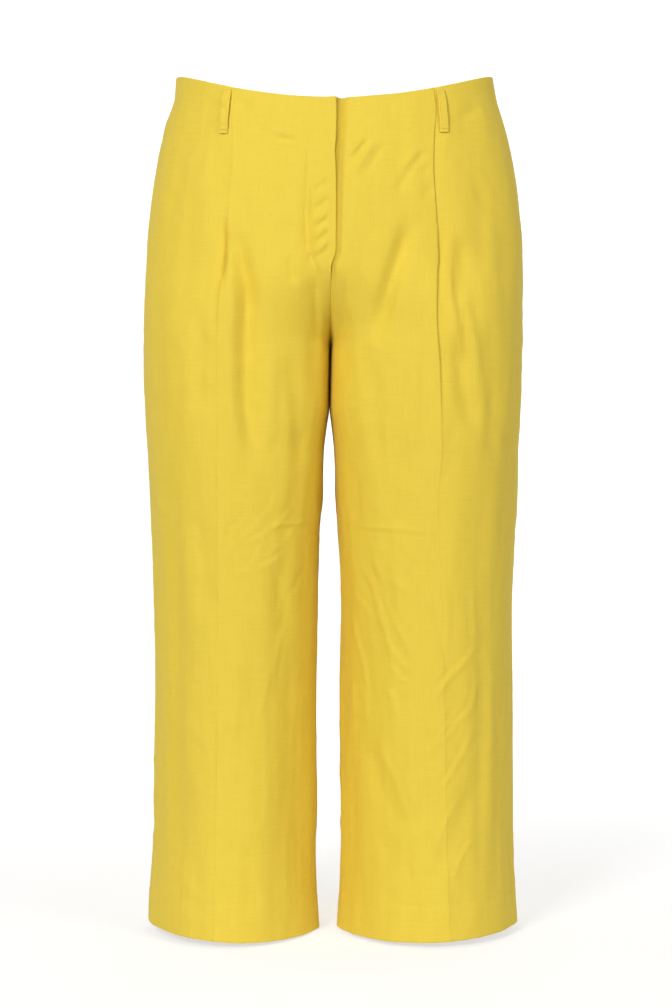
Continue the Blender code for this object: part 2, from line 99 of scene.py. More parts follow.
class Value:
    """A socket of a material that takes part in Python expressions."""

    def __init__(self, tree, socket=None):
        self.tree, self.socket = tree, socket

    def node(self, kind, inputs, output=0, **settings):
        """A node of a type, with its settings made before the values or links of its sockets."""
        made = self.tree.nodes.new(kind)
        stops = settings.pop("stops", ())
        for name, value in settings.items():
            setattr(made, name, value)
        for place, colour in stops:
            stop = made.color_ramp.elements.new(place)
            stop.color = colour
        for end in (0, -1) if stops else ():
            made.color_ramp.elements.remove(made.color_ramp.elements[end])
        for name, value in inputs.items():
            if isinstance(value, Value):
                self.tree.links.new(value.socket, made.inputs[name])
            else:
                made.inputs[name].default_value = value
        return Value(self.tree, made.outputs[output])

    def math(self, operation, *others):
        values = dict(enumerate((self, *others)))
        return self.node("ShaderNodeMath", values, operation=operation)

    def __add__(self, other):
        return self.math("ADD", other)

    def __sub__(self, other):
        return self.math("SUBTRACT", other)

    def __rsub__(self, other):
        return self.node("ShaderNodeMath", {0: other, 1: self}, operation="SUBTRACT")

    def __mul__(self, other):
        return self.math("MULTIPLY", other)

    __radd__, __rmul__ = __add__, __mul__

    def mix(self, start, end):
        """The colour that lies this far from start to end."""
        return self.node("ShaderNodeMix", {"Factor": self, "A": start, "B": end}, output=2,
                         data_type="RGBA")

    def feed(self, socket):
        self.tree.links.new(self.socket, socket)


def new_material(name, **constants):
    """A material, its shader with these values on its own sockets, and a start for its nodes."""
    material = bpy.data.materials.new(name)
    material.use_nodes = True
    shader = material.node_tree.nodes["Principled BSDF"]
    for socket, value in constants.items():
        shader.inputs[socket.replace("_", " ")].default_value = value
    return material, shader, Value(material.node_tree)


def seen_or_lit(tree, seen, lit):
    """A strength with one value where the camera sees it and another where it lights the garment."""
    in_view = Value(tree).node("ShaderNodeLightPath", {}, output="Is Camera Ray")
    return in_view * seen + (1.0 - in_view) * lit


# The paper and the room look white, but they light the garment more faintly.
WHITE, PAPER_GREY = (1.0, 1.0, 1.0, 1.0), (0.45, 0.45, 0.45, 1.0)
paper, paper_shader, _ = new_material("backdrop_paper", Base_Color=PAPER_GREY, Roughness=0.9,
                                      Specular_IOR_Level=0.1, Emission_Color=WHITE)
seen_or_lit(paper.node_tree, seen=0.640, lit=0.33).feed(paper_shader.inputs["Emission Strength"])
floor_mesh.materials.append(paper)

world = bpy.data.worlds.new("studio")
world.use_nodes = True
room = world.node_tree.nodes["Background"]
room.inputs["Color"].default_value = WHITE
seen_or_lit(world.node_tree, seen=1.0, lit=0.20).feed(room.inputs["Strength"])
scene.world = world

Light = namedtuple("Light", "name place aim width height watts")
LIGHTS = (
    Light("key", (-1.15, -2.65, 0.85), (0.0, 0.0, -0.45), 0.8, 1.1, 65.0),
    Light("fill", (2.1, -2.1, 0.60), (0.0, 0.0, -0.30), 1.2, 1.6, 27.0),
    Light("backdrop", (0.0, 1.8, 2.2), (0.0, 6.2, -0.3), 4.0, 1.0, 195.0),
    Light("behind", (0.6, 3.2, 1.6), (0.0, 0.0, -0.40), 2.4, 1.6, 8.0),
    Light("rim_left", (-2.0, 1.6, 0.4), (0.0, 0.0, -0.45), 1.0, 2.0, 8.0),
    Light("rim_right", (2.0, 1.6, 0.4), (0.0, 0.0, -0.45), 1.0, 2.0, 7.0),
)
for light in LIGHTS:
    lamp = bpy.data.lights.new(light.name, "AREA")
    lamp.shape = "RECTANGLE"
    lamp.size, lamp.size_y, lamp.energy = light.width, light.height, light.watts
    holder = bpy.data.objects.new(light.name, lamp)
    holder.location = light.place
    holder.rotation_euler = (Vector(light.aim) - Vector(light.place)).to_track_quat("-Z", "Y").to_euler()
    scene.collection.objects.link(holder)


# ---- The cloth's form ---------------------------------------------------------------------------
# Two fronts and two backs hang from a faced waist. Their form is a run of closed sections, one for
# each leg, which flow into one body above the crotch. These sizes are in millimetres.
MM = 0.001
SIGN = {"right": -1.0, "left": 1.0}
CROTCH_Z = -265.5
# The top edge dips at the front and rises a little at the back, and each hem slopes.
TOP_Z, DIP_FADE = 22.5, 130.0
FRONT_DIP, FRONT_DIP_POWER, BACK_RISE = 39.6, 2.15, 4.0
HEM_Z, HEM_SLOPE_LENGTH = -878.0, 118.0
HEM_SLOPE = {"right": 0.047, "left": 0.031}

Section = namedtuple("Section", "z right left middle gap front back outer inner")
SECTIONS = (
    Section(25.0, 169.0, 168.0, -1.0, 0.04, 113.0, 115.0, 0.83, 0.83),
    Section(0.0, 171.0, 172.0, -1.0, 0.04, 115.5, 119.0, 0.83, 0.83),
    Section(-30.0, 180.3, 180.5, -1.0, 0.04, 119.0, 127.0, 0.80, 0.83),
    Section(-70.0, 188.6, 189.0, -1.5, 0.04, 123.0, 139.0, 0.76, 0.83),
    Section(-120.0, 196.3, 196.0, -2.0, 0.04, 125.5, 149.0, 0.73, 0.83),
    Section(-160.0, 200.0, 199.0, -3.0, 0.04, 126.0, 152.0, 0.72, 0.78),
    Section(-200.0, 202.0, 199.3, -4.0, 0.04, 125.0, 151.0, 0.74, 0.62),
    Section(-265.5, 203.0, 199.2, -4.8, 0.04, 122.0, 143.0, 0.80, 0.50),
    Section(-300.0, 203.0, 198.8, -5.5, 0.04, 120.5, 138.0, 0.84, 0.52),
    Section(-326.0, 202.2, 198.2, -6.0, 0.04, 119.0, 134.0, 0.87, 0.54),
    Section(-345.0, 201.5, 197.6, -6.3, 4.6, 118.0, 131.0, 0.89, 0.56),
    Section(-372.0, 200.1, 195.6, -6.5, 10.6, 116.0, 128.0, 0.93, 0.62),
    Section(-415.0, 198.0, 194.6, -6.3, 14.0, 113.0, 123.0, 0.98, 0.72),
    Section(-460.0, 195.7, 192.2, -6.6, 19.0, 110.0, 119.0, 1.02, 0.85),
    Section(-545.0, 193.1, 189.2, -6.1, 23.8, 105.0, 113.0, 1.08, 1.00),
    Section(-630.0, 192.4, 189.6, -7.2, 25.4, 101.0, 109.0, 1.14, 1.10),
    Section(-757.0, 193.2, 190.0, -7.4, 24.6, 97.5, 106.0, 1.25, 1.22),
    Section(-800.0, 195.4, 191.3, -7.8, 25.6, 97.0, 105.5, 1.30, 1.28),
    Section(-845.0, 198.8, 193.8, -7.5, 23.6, 97.0, 105.0, 1.36, 1.34),
    Section(-885.0, 200.4, 196.4, -7.5, 18.6, 97.0, 105.0, 1.42, 1.38),
)
# How far the two leg sections have parted, from 0, one body, to 1, two legs: the crotch seam.
Parting = namedtuple("Parting", "z front back")
PARTINGS = (
    Parting(-60.0, 0.0, 0.0),
    Parting(-110.0, 0.05, 0.06),
    Parting(-155.0, 0.14, 0.34),
    Parting(-175.0, 0.22, 0.55),
    Parting(-190.0, 0.38, 0.70),
    Parting(-205.0, 0.62, 0.81),
    Parting(-220.0, 0.80, 0.89),
    Parting(-236.0, 0.915, 0.948),
    Parting(-248.0, 0.968, 0.977),
    Parting(-257.0, 0.991, 0.9925),
    Parting(-262.0, 0.9983, 0.9984),
    Parting(CROTCH_Z, 1.0, 1.0),
)
# How far forward of a leg's outermost and innermost lines its two seams lie.
Seams = namedtuple("Seams", "z outseam inseam")
SEAM_PLACES = (
    Seams(25.0, 20.0, 0.0),
    Seams(-60.0, 14.0, 0.0),
    Seams(CROTCH_Z, 12.0, 0.0),
    Seams(-310.0, 12.0, 6.0),
    Seams(-450.0, 15.0, 14.0),
    Seams(-885.0, 26.0, 20.0),
)


def smooth(t):
    """0 before t = 0, 1 after t = 1, and a soft step between."""
    t = np.clip(t, 0.0, 1.0)
    return t * t * (3.0 - 2.0 * t)


def curve_through(points):
    """A smooth curve through (place, value) points that never runs past them."""
    places, values = np.array(sorted(points), float).T
    spans = np.diff(places)
    rises = np.diff(values) / spans
    before, after = rises[:-1], rises[1:]
    turns_back = before * after <= 0.0
    slopes = np.where(turns_back, 0.0, 2.0 * before * after / np.where(turns_back, 1.0, before + after))
    slopes = np.concatenate((rises[:1], slopes, rises[-1:]))

    def value_at(place):
        place = np.clip(place, places[0], places[-1])
        i = np.clip(np.searchsorted(places, place, side="right") - 1, 0, len(spans) - 1)
        t = (place - places[i]) / spans[i]
        start = (2 * t**3 - 3 * t**2 + 1) * values[i] + (t**3 - 2 * t**2 + t) * spans[i] * slopes[i]
        end = (3 * t**2 - 2 * t**3) * values[i + 1] + (t**3 - t**2) * spans[i] * slopes[i + 1]
        return start + end

    return value_at


def curves_of(rows):
    """One curve over z for each named column of a table."""
    names = [name for name in rows[0]._fields if name != "z"]
    return {name: curve_through([(row.z, getattr(row, name)) for row in rows]) for name in names}


SIZE, PARTED, SEAM = curves_of(SECTIONS), curves_of(PARTINGS), curves_of(SEAM_PLACES)


def ring(side, z, ahead):
    """Centre and half-width of one half's section, measured out from the middle plane."""
    width = SIZE[side](z) - SIGN[side] * SIZE["middle"](z)
    parted = np.where(ahead, PARTED["front"](z), PARTED["back"](z))
    centre = (width + SIZE["gap"](z) / 2.0) * parted / 2.0
    return centre, width - centre


def bare_point(side, z, turn):
    """Points of the uncreased surface. turn is 0 on the inner side of a leg, a quarter turn at its
    front, a half turn on its outer side and three quarters at its back."""
    ahead = np.sin(turn) >= 0.0
    centre, half_width = ring(side, z, ahead)
    out = centre - half_width * np.cos(turn)
    turning = np.where(np.cos(turn) > 0.0, SIZE["inner"](z), SIZE["outer"](z))
    depth = np.where(ahead, -SIZE["front"](z), SIZE["back"](z)) * np.abs(np.sin(turn)) ** turning
    return np.stack((SIZE["middle"](z) + SIGN[side] * out, depth, z), -1)


def outward(side, z, turn):
    """Unit normals of that surface, from points a small turn and a small rise apart."""
    step, lift = 0.03, 1.5
    along = bare_point(side, z, turn + step) - bare_point(side, z, turn - step)
    up = bare_point(side, z + lift, turn) - bare_point(side, z - lift, turn)
    normal = np.cross(along, up) * SIGN[side]
    return normal / np.linalg.norm(normal, axis=-1, keepdims=True)


def turn_at(side, z, ahead, out):
    """The turn whose point lies at a distance out from the middle plane."""
    centre, half_width = ring(side, z, ahead)
    turn = np.arccos(np.clip((centre - out) / half_width, -1.0, 1.0))
    return np.where(ahead, turn, 2.0 * math.pi - turn)


class Girths:
    """Distances round the sections at a column of heights, and the turns that lie at them."""

    FIRST, LAST, STEPS = -0.7, 2.0 * math.pi + 0.7, 700

    def __init__(self, side, heights):
        self.turns = np.linspace(self.FIRST, self.LAST, self.STEPS)
        points = bare_point(side, *np.broadcast_arrays(heights[:, None], self.turns[None, :]))
        steps = np.linalg.norm(np.diff(points, axis=1), axis=2)
        self.lengths = np.concatenate((np.zeros((len(heights), 1)), np.cumsum(steps, axis=1)), axis=1)

    def length(self, turns):
        return np.array([np.interp(turn, self.turns, row) for turn, row in zip(turns, self.lengths)])

    def turn(self, lengths):
        return np.array([np.interp(row, known, self.turns) for row, known in zip(lengths, self.lengths)])


# ---- Pleats, fly and folds ----------------------------------------------------------------------
# Each front has one pleat, folded towards the side seam at the waist and pressed down the leg. The
# right front laps over the left one at the fly. Folds and creases are those of worn, washed linen.
Pleat = namedtuple("Pleat", "z x ridge drop fold crest")
PLEATS = {
    "left": (
        Pleat(25.0, 97.5, 0.5, 0.7, 0.9, 0.0),
        Pleat(-66.0, 98.6, 0.7, 1.1, 1.0, 0.0),
        Pleat(-157.0, 104.2, 0.9, 1.3, 1.0, 0.0),
        Pleat(-179.0, 105.3, 1.0, 1.4, 1.0, 0.0),
        Pleat(-196.0, 103.5, 1.1, 1.5, 1.0, 0.0),
        Pleat(-236.0, 102.4, 1.0, 1.4, 0.9, 0.1),
        Pleat(-298.0, 106.5, 0.7, 0.7, 0.4, 0.2),
        Pleat(-378.0, 107.9, 0.4, 0.3, 0.0, 0.3),
        Pleat(-426.0, 104.5, 0.3, 0.15, 0.0, 0.4),
        Pleat(-545.0, 109.1, 0.2, 0.05, 0.0, 0.5),
        Pleat(-634.0, 111.6, 0.2, 0.05, 0.0, 0.5),
        Pleat(-752.0, 113.6, 0.2, 0.05, 0.0, 0.5),
        Pleat(-885.0, 117.5, 0.2, 0.05, 0.0, 0.4),
    ),
    "right": (
        Pleat(25.0, -99.0, 0.1, 0.1, 0.0, 0.0),
        Pleat(-66.0, -103.0, 0.2, 0.2, 0.0, 0.0),
        Pleat(-130.0, -108.0, 0.3, 0.3, 0.1, 0.0),
        Pleat(-156.0, -109.0, 1.3, 2.0, 1.0, 0.0),
        Pleat(-185.0, -109.5, 1.6, 2.8, 1.0, 0.0),
        Pleat(-210.0, -115.0, 1.4, 2.2, 0.9, 0.1),
        Pleat(-240.0, -118.0, 0.6, 0.5, 0.2, 0.3),
        Pleat(-285.0, -119.0, 0.3, 0.1, 0.0, 0.4),
        Pleat(-545.0, -119.0, 0.3, 0.1, 0.0, 0.4),
        Pleat(-885.0, -124.0, 0.3, 0.1, 0.0, 0.4),
    ),
}
PLEAT = {side: curves_of(rows) for side, rows in PLEATS.items()}
PLEAT_REACH, CREST_WIDTH = 13.0, 2.6
# The cloth's way through a pleat, from the centre-front side outwards: the place across it where it
# is pressed flat, the place where it is folded, and the share of its drop that it has come down.
PLEAT_WAY = (
    (-3.0, -3.0, 0.0), (-2.0, -1.7, 0.0), (-1.2, -0.6, 0.01), (-0.6, 0.15, 0.07), (-0.2, 0.55, 0.25),
    (0.1, 0.35, 0.45), (0.4, -0.25, 0.58), (0.7, -0.7, 0.72), (1.0, -0.6, 0.88), (1.5, 0.3, 0.97),
    (2.2, 1.6, 1.0), (3.0, 3.0, 1.0),
)

LAP_END = -190.0
FLY_LAP = curve_through(((25.0, 2.2), (-100.0, 3.0), (-174.0, 4.3), (LAP_END, -0.15)))
UNDERLAP, UNDERLAP_END, UNDERLAP_FADE, FLY_RELIEF_END = 10.0, -191.0, 16.0, -215.0
LAP_RAISE, LAP_RAISE_WIDTH = 0.8, 26.0
LAP_CURL, LAP_CURL_START, LAP_CURL_WIDTH, LAP_CURL_FADE = 1.6, -3.0, 12.0, 170.0
# Beside the lap the left front sinks into a recess, climbs out of it and ends in a low brim. Towards
# the fly's foot the recess keeps these shares of its width and depth.
UNDERLAP_DROP, RECESS_SINK, RECESS_FALL, RECESS_CLIMB = 1.2, 3.2, 5.0, 9.0
RECESS_BRIM, BRIM_WIDTH = 0.6, 9.0
RECESS_FOOT_WIDTH, RECESS_FOOT_DEPTH = 0.5, 0.4

# The pressed crease of each back begins below the seat.
BACK_CREASE_X = {"left": 100.0, "right": -106.0}
BACK_CREASE_HEIGHT, BACK_CREASE_WIDTH = 0.7, 7.0
BACK_CREASE_TOP, BACK_CREASE_FADE = -190.0, 90.0

# Creases and soft folds, by their paths. x is given for the front and back and y for the outer sides.
# lean puts a slight hollow beside a ridge, or a slight ridge beside a hollow, on one side of it.
Crease = namedtuple("Crease", "width height lean path")
CREASES = {
    "front": (
        # Under the waist and beside the fly
        Crease(4.0, -1.8, 0, ((-103, -20), (-93, -24), (-83, -30))),
        Crease(3.6, -1.8, 0, ((-58, -24), (-69, -34), (-78, -46), (-79, -57))),
        Crease(3.0, -1.5, -1, ((-64, -60), (-50, -62), (-36, -62))),
        Crease(3.2, 2.0, 1, ((31, -57), (21, -70), (11, -82))),
        Crease(3.2, -1.4, 0, ((91, -71), (83, -86))),
        Crease(3.2, -1.2, 0, ((97, -86), (86, -97))),
        Crease(4.2, -1.6, 0, ((99, -106), (88, -124))),
        Crease(5.0, -1.2, 0, ((152, -16), (137, -29), (122, -38))),
        # From the hips and pleats down the thighs
        Crease(9.0, -8.6, 0, ((77, -134), (72, -157), (65, -181), (57, -205), (48, -235),
               (41, -272))),
        Crease(4.5, -2.4, 0, ((-47, -178), (-41, -210))),
        Crease(7.0, -4.1, 0, ((127, -152), (130, -185), (128, -235))),
        Crease(10.0, -5.9, 0, ((121, -252), (131, -309), (142, -367))),
        Crease(10.5, -9.0, -1, ((-102, -152), (-96, -179), (-90, -208), (-88, -238), (-90, -269),
               (-90, -314), (-85, -365), (-80, -406))),
        Crease(5.0, -3.0, 0, ((-103, -140), (-98, -168), (-92, -196), (-87, -227), (-86, -248))),
        Crease(3.4, 1.6, 0, ((-107, -162), (-105, -185), (-103, -213), (-102, -243))),
        Crease(8.0, -4.0, 0, ((-32, -99), (-29, -137), (-27, -167), (-22, -198), (-16, -233),
               (-9, -274))),
        Crease(6.0, -2.6, 0, ((-17, -191), (-14, -213), (-10, -241), (-6, -274))),
        Crease(4.2, -3.2, 0, ((107, -122), (109, -162), (110, -203), (109, -254), (110, -302),
               (112, -355))),
        Crease(4.5, 2.2, 0, ((111, -147), (114, -185), (118, -223), (125, -259), (130, -289))),
        Crease(4.0, -2.6, 0, ((116, -162), (121, -198), (128, -238), (135, -276), (140, -316))),
        Crease(4.5, 2.0, 0, ((124, -185), (131, -228), (140, -269), (147, -309))),
        Crease(4.0, -1.6, 0, ((135, -172), (143, -223), (151, -274), (155, -325))),
        # Fine ones over the belly, the lap and its stitching
        Crease(3.2, -1.6, 0, ((90, -71), (80, -87), (68, -106), (60, -118))),
        Crease(3.0, 1.2, 0, ((84, -67), (74, -83), (64, -97))),
        Crease(3.4, 1.6, 0, ((44, -59), (34, -73), (22, -93), (18, -106))),
        Crease(3.0, -1.2, 0, ((52, -63), (40, -81), (29, -101))),
        Crease(3.0, -1.1, 0, ((-133, -18), (-118, -24), (-104, -33))),
        Crease(3.0, 1.0, 0, ((-74, -43), (-60, -52), (-42, -57))),
        Crease(5.0, -1.6, 0, ((9, -195), (6, -223), (5, -264))),
        Crease(2.8, 2.4, 1, ((-7, -136), (-15, -142), (-23, -150))),
        Crease(2.8, 2.4, 1, ((-5, -150), (-14, -156), (-23, -165))),
        Crease(2.8, 2.0, 1, ((-6, -165), (-14, -172), (-22, -179))),
        Crease(3.0, -2.0, 0, ((-4, -120), (-13, -128), (-22, -135))),
        Crease(2.6, -1.6, 0, ((-6, -101), (-14, -110), (-23, -115))),
        Crease(3.0, -3.4, 0, ((-111, -136), (-109, -162), (-110, -185), (-113, -207),
               (-116, -223))),
        Crease(2.6, -1.8, 0, ((-28, -71), (-28, -122), (-28, -162), (-26, -174), (-22, -187),
               (-17, -197), (-9, -202), (-1, -203))),
        # Across both knees, then below the right one
        Crease(2.2, 0.9, -1, ((-78, -456), (-56, -452), (-35, -449), (-14, -445))),
        Crease(2.2, 0.9, -1, ((15, -453), (38, -454), (66, -456), (107, -459))),
        Crease(2.1, 0.8, -1, ((-55, -413), (-63, -430), (-73, -443), (-87, -458), (-99, -470),
               (-111, -483))),
        Crease(2.1, 0.6, -1, ((-26, -436), (-34, -447), (-45, -458), (-51, -470), (-65, -478),
               (-77, -491))),
        Crease(2.1, 0.8, -1, ((-72, -464), (-77, -477), (-82, -488), (-88, -497), (-99, -504))),
        Crease(2.6, 0.7, 0, ((-79, -409), (-95, -422))),
        Crease(3.0, -0.8, 0, ((-29, -487), (-38, -508), (-45, -520), (-54, -530))),
        Crease(3.1, 0.9, 0, ((-55, -522), (-56, -544), (-59, -562))),
        Crease(3.0, 0.9, 0, ((-187, -423), (-179, -435), (-172, -443))),
        # Down the right calf
        Crease(8.0, -3.0, 0, ((-165, -365), (-164, -446), (-164, -568), (-163, -690),
               (-161, -837))),
        Crease(9.0, -2.2, 0, ((-138, -421), (-135, -487), (-130, -560))),
        Crease(8.0, -2.1, 0, ((-60, -483), (-56, -527), (-51, -576))),
        Crease(15.0, -3.3, 0, ((-51, -558), (-44, -649), (-43, -750), (-45, -860))),
        Crease(8.0, -1.7, 0, ((-91, -769), (-87, -811), (-86, -857))),
        Crease(4.0, 1.0, 0, ((-104, -568), (-100, -629), (-101, -690))),
        Crease(5.0, 1.4, 0, ((-74, -629), (-70, -710), (-74, -781))),
        # Below the left knee and down its calf
        Crease(2.6, 1.3, -1, ((37, -472), (45, -499), (50, -523), (58, -540), (62, -550),
               (67, -564), (75, -580), (82, -591))),
        Crease(2.6, 0.6, 0, ((45, -499), (64, -513), (81, -527))),
        Crease(2.8, 1.0, 1, ((50, -566), (62, -584), (68, -593), (79, -601))),
        Crease(2.8, 0.8, 1, ((54, -590), (62, -603), (76, -616))),
        Crease(2.3, 0.8, 1, ((20, -509), (25, -530), (34, -537), (37, -561), (41, -580),
               (44, -592), (45, -604))),
        Crease(3.0, 1.3, -1, ((145, -568), (137, -586), (127, -597), (115, -609), (107, -620),
               (95, -632))),
        Crease(3.0, 1.0, -1, ((140, -505), (141, -530), (143, -568), (144, -580))),
        Crease(3.1, 1.1, -1, ((148, -598), (144, -620), (140, -639), (127, -651), (116, -667),
               (91, -682))),
        Crease(2.6, -0.9, 0, ((24, -396), (24, -426), (23, -450))),
        Crease(2.4, 1.4, -1, ((26, -487), (38, -515), (48, -550), (56, -580), (61, -608))),
        Crease(2.4, -1.3, 0, ((31, -479), (46, -511), (62, -546), (76, -572))),
        Crease(2.4, 1.3, 1, ((17, -537), (23, -568), (31, -604), (36, -641))),
        Crease(2.4, 1.3, 1, ((107, -487), (113, -517), (116, -553), (113, -588))),
        Crease(2.4, -1.1, 0, ((96, -527), (107, -558), (112, -596))),
        Crease(2.4, 1.0, -1, ((133, -629), (119, -651), (102, -673), (90, -700))),
        Crease(2.4, 1.0, -1, ((143, -655), (133, -681), (117, -708), (102, -730))),
        Crease(2.4, 0.8, -1, ((137, -720), (119, -742), (107, -769), (98, -797))),
        Crease(2.4, 0.8, 1, ((44, -671), (56, -700), (68, -730), (76, -759))),
        Crease(2.4, -0.8, 0, ((70, -791), (78, -815), (82, -834))),
        Crease(2.4, 1.0, -1, ((145, -769), (129, -793), (119, -819))),
        Crease(2.4, 0.9, -1, ((-35, -422), (-52, -444), (-74, -462), (-100, -475))),
        Crease(2.4, 0.9, -1, ((-46, -473), (-64, -489), (-84, -497))),
        Crease(2.4, -1.0, 0, ((-88, -436), (-104, -452), (-115, -471))),
        Crease(2.4, 1.0, 0, ((-50, -548), (-58, -580), (-64, -619))),
        Crease(2.4, 1.0, 0, ((-62, -578), (-70, -619), (-78, -653))),
        Crease(3.6, 1.5, 0, ((19, -615), (20, -633), (21, -655))),
        Crease(3.6, 1.5, 0, ((27, -615), (31, -635), (33, -657))),
        Crease(3.4, 1.4, 1, ((50, -615), (58, -627), (63, -651))),
        Crease(9.0, -2.2, 0, ((24, -664), (39, -694), (54, -738), (66, -763))),
        Crease(10.0, -2.2, 0, ((147, -705), (129, -753), (115, -789), (87, -824))),
        Crease(7.0, -1.5, 0, ((151, -487), (151, -588), (150, -710), (151, -837))),
        Crease(6.0, 1.4, 0, ((160, -507), (160, -629), (161, -811))),
        Crease(8.0, -2.2, 0, ((11, -568), (12, -649), (14, -730), (15, -811))),
        Crease(5.0, 1.2, 0, ((78, -649), (80, -730), (83, -811))),
        # Soft ones down both thighs
        Crease(7.0, -2.2, 0, ((-141, -223), (-138, -274), (-140, -345))),
        Crease(6.0, 2.0, 0, ((-66, -264), (-64, -325), (-68, -385))),
        Crease(8.0, -2.9, 0, ((-44, -269), (-38, -335), (-35, -396))),
        Crease(7.0, -2.4, 0, ((44, -284), (42, -335), (44, -396))),
        Crease(6.0, 2.0, 0, ((76, -254), (80, -314), (78, -385))),
        Crease(6.0, -2.2, 0, ((159, -223), (160, -304), (157, -396))),
    ),
    "back": (
        Crease(14.0, -3.2, 0, ((-160, -225), (-112, -266), (-62, -318))),
        Crease(14.0, -3.0, 0, ((152, -232), (110, -282), (58, -312))),
        Crease(12.0, -2.4, 0, ((-148, -300), (-108, -330), (-74, -372))),
        Crease(12.0, -2.4, 0, ((60, -340), (106, -364), (146, -402))),
        Crease(8.0, -2.8, 1, ((-156, -432), (-108, -448), (-66, -476))),
        Crease(8.0, -2.6, -1, ((52, -448), (98, -480), (140, -498))),
        Crease(4.0, 2.4, 1, ((-150, -452), (-112, -466), (-80, -489))),
        Crease(4.0, 2.2, -1, ((62, -470), (96, -494), (128, -508))),
        Crease(7.0, -2.1, 1, ((-62, -520), (-98, -560), (-142, -592))),
        Crease(7.0, -2.2, 1, ((142, -556), (100, -590), (66, -640))),
        Crease(3.4, 1.7, -1, ((-58, -536), (-90, -571), (-120, -588))),
        Crease(3.4, 1.7, 1, ((136, -574), (108, -596), (84, -628))),
        Crease(10.0, -2.0, 0, ((-140, -690), (-118, -742), (-84, -800))),
        Crease(10.0, -2.1, 0, ((60, -700), (92, -748), (118, -806))),
        Crease(3.0, 0.9, 0, ((-150, -458), (-110, -461), (-64, -459))),
        Crease(3.0, 0.9, 0, ((48, -460), (98, -463), (146, -459))),
        Crease(5.0, -1.2, 0, ((-60, -60), (-44, -78), (-40, -96))),
        Crease(5.0, -1.2, 0, ((38, -52), (52, -72), (50, -92))),
        Crease(9.0, -1.6, 0, ((-22, -190), (-36, -222), (-42, -262))),
        Crease(9.0, -1.6, 0, ((20, -186), (32, -224), (36, -266))),
        Crease(9.0, -1.8, 0, ((-168, -560), (-170, -700), (-172, -860))),
        Crease(9.0, -1.8, 0, ((164, -540), (166, -690), (168, -860))),
    ),
    "right": (
        Crease(10.0, -1.8, 0, ((-20, -180), (-6, -300), (-2, -440))),
        Crease(5.0, 1.2, 1, ((58, -446), (34, -468), (8, -500))),
        Crease(4.0, 0.8, -1, ((70, -502), (44, -520), (20, -548))),
        Crease(9.0, -1.7, 0, ((34, -560), (22, -700), (28, -862))),
        Crease(7.0, -1.2, 0, ((-36, -590), (-40, -720), (-34, -850))),
    ),
    "left": (
        Crease(10.0, -1.8, 0, ((24, -170), (10, -310), (6, -430))),
        Crease(5.0, 1.2, -1, ((8, -440), (36, -466), (62, -486))),
        Crease(4.0, 0.8, 1, ((12, -500), (40, -520), (66, -530))),
        Crease(9.0, -1.7, 0, ((-28, -570), (-18, -720), (-26, -866))),
        Crease(7.0, -1.2, 0, ((38, -580), (44, -730), (36, -858))),
    ),
}
LEAN_SHARE, LEAN_PLACE = 0.5, 1.5
CREASE_FADE, CREASE_REACH, CREASE_STEPS = 0.3, 3.2, 9
# How far round a leg the relief of the front, of the back and of the outer side begins
RELIEF_START, SIDE_START, TURN_FADE = 0.12, 0.55, 0.3
# Between these heights the thighs touch, so the cloth stays smooth near the middle plane.
TOUCH_TOP, TOUCH_END, TOUCH_FADE, TOUCH_WIDTH = -190.0, -430.0, 40.0, 8.0
# The doubled cloth of a hem stands a little proud, with a dimple where each hidden stitch pulls.
HEM_TURN_UP, HEM_STEP, HEM_STEP_FADE = 37.0, 0.35, 2.0
HEM_DIMPLE, HEM_STITCHES = 0.18, 66

# Ripples left by wear and washing, as waves through the cloth: how many, how far apart they lie
# across and down the leg, and their height. The faced waist is stiffer, so they are calmer there.
Ripples = namedtuple("Ripples", "count across down height")
RIPPLES = (
    Ripples(16, 15.0, 240.0, 0.12),
    Ripples(14, 34.0, 300.0, 0.35),
    Ripples(12, 100.0, 260.0, 0.40),
)
RIPPLE_SEED, RIPPLE_SPREAD = 41, (0.6, 1.7)
WAIST_CALM, CALM_START, CALM_FADE = 0.6, -30.0, 30.0
# Crumples are the crests along which such waves change sign, so they run as a net of fine creases.
# They are strongest in some patches, and elsewhere keep a least share of their height.
CRUMPLES = (Ripples(9, 44.0, 90.0, 0.42), Ripples(9, 26.0, 48.0, 0.20))
CRUMPLE_MEAN, CRUMPLE_EDGE, CRUMPLE_LEAST = 0.8, 0.12, 0.25
PATCHES = Ripples(5, 210.0, 210.0, 1.0)


def laid_out(crease):
    """A crease's path as short steps: its points, its steps, their lengths and how far each begins."""
    stops = np.array(crease.path, float)
    places = np.linspace(0.0, len(stops) - 1.0, CREASE_STEPS)
    run = np.stack([curve_through(list(enumerate(column)))(places) for column in stops.T], -1)
    steps = np.diff(run, axis=0)
    lengths = np.linalg.norm(steps, axis=1)
    return crease, run, steps, lengths, np.concatenate(([0.0], np.cumsum(lengths)))


LAID_OUT = {face: [laid_out(crease) for crease in creases] for face, creases in CREASES.items()}


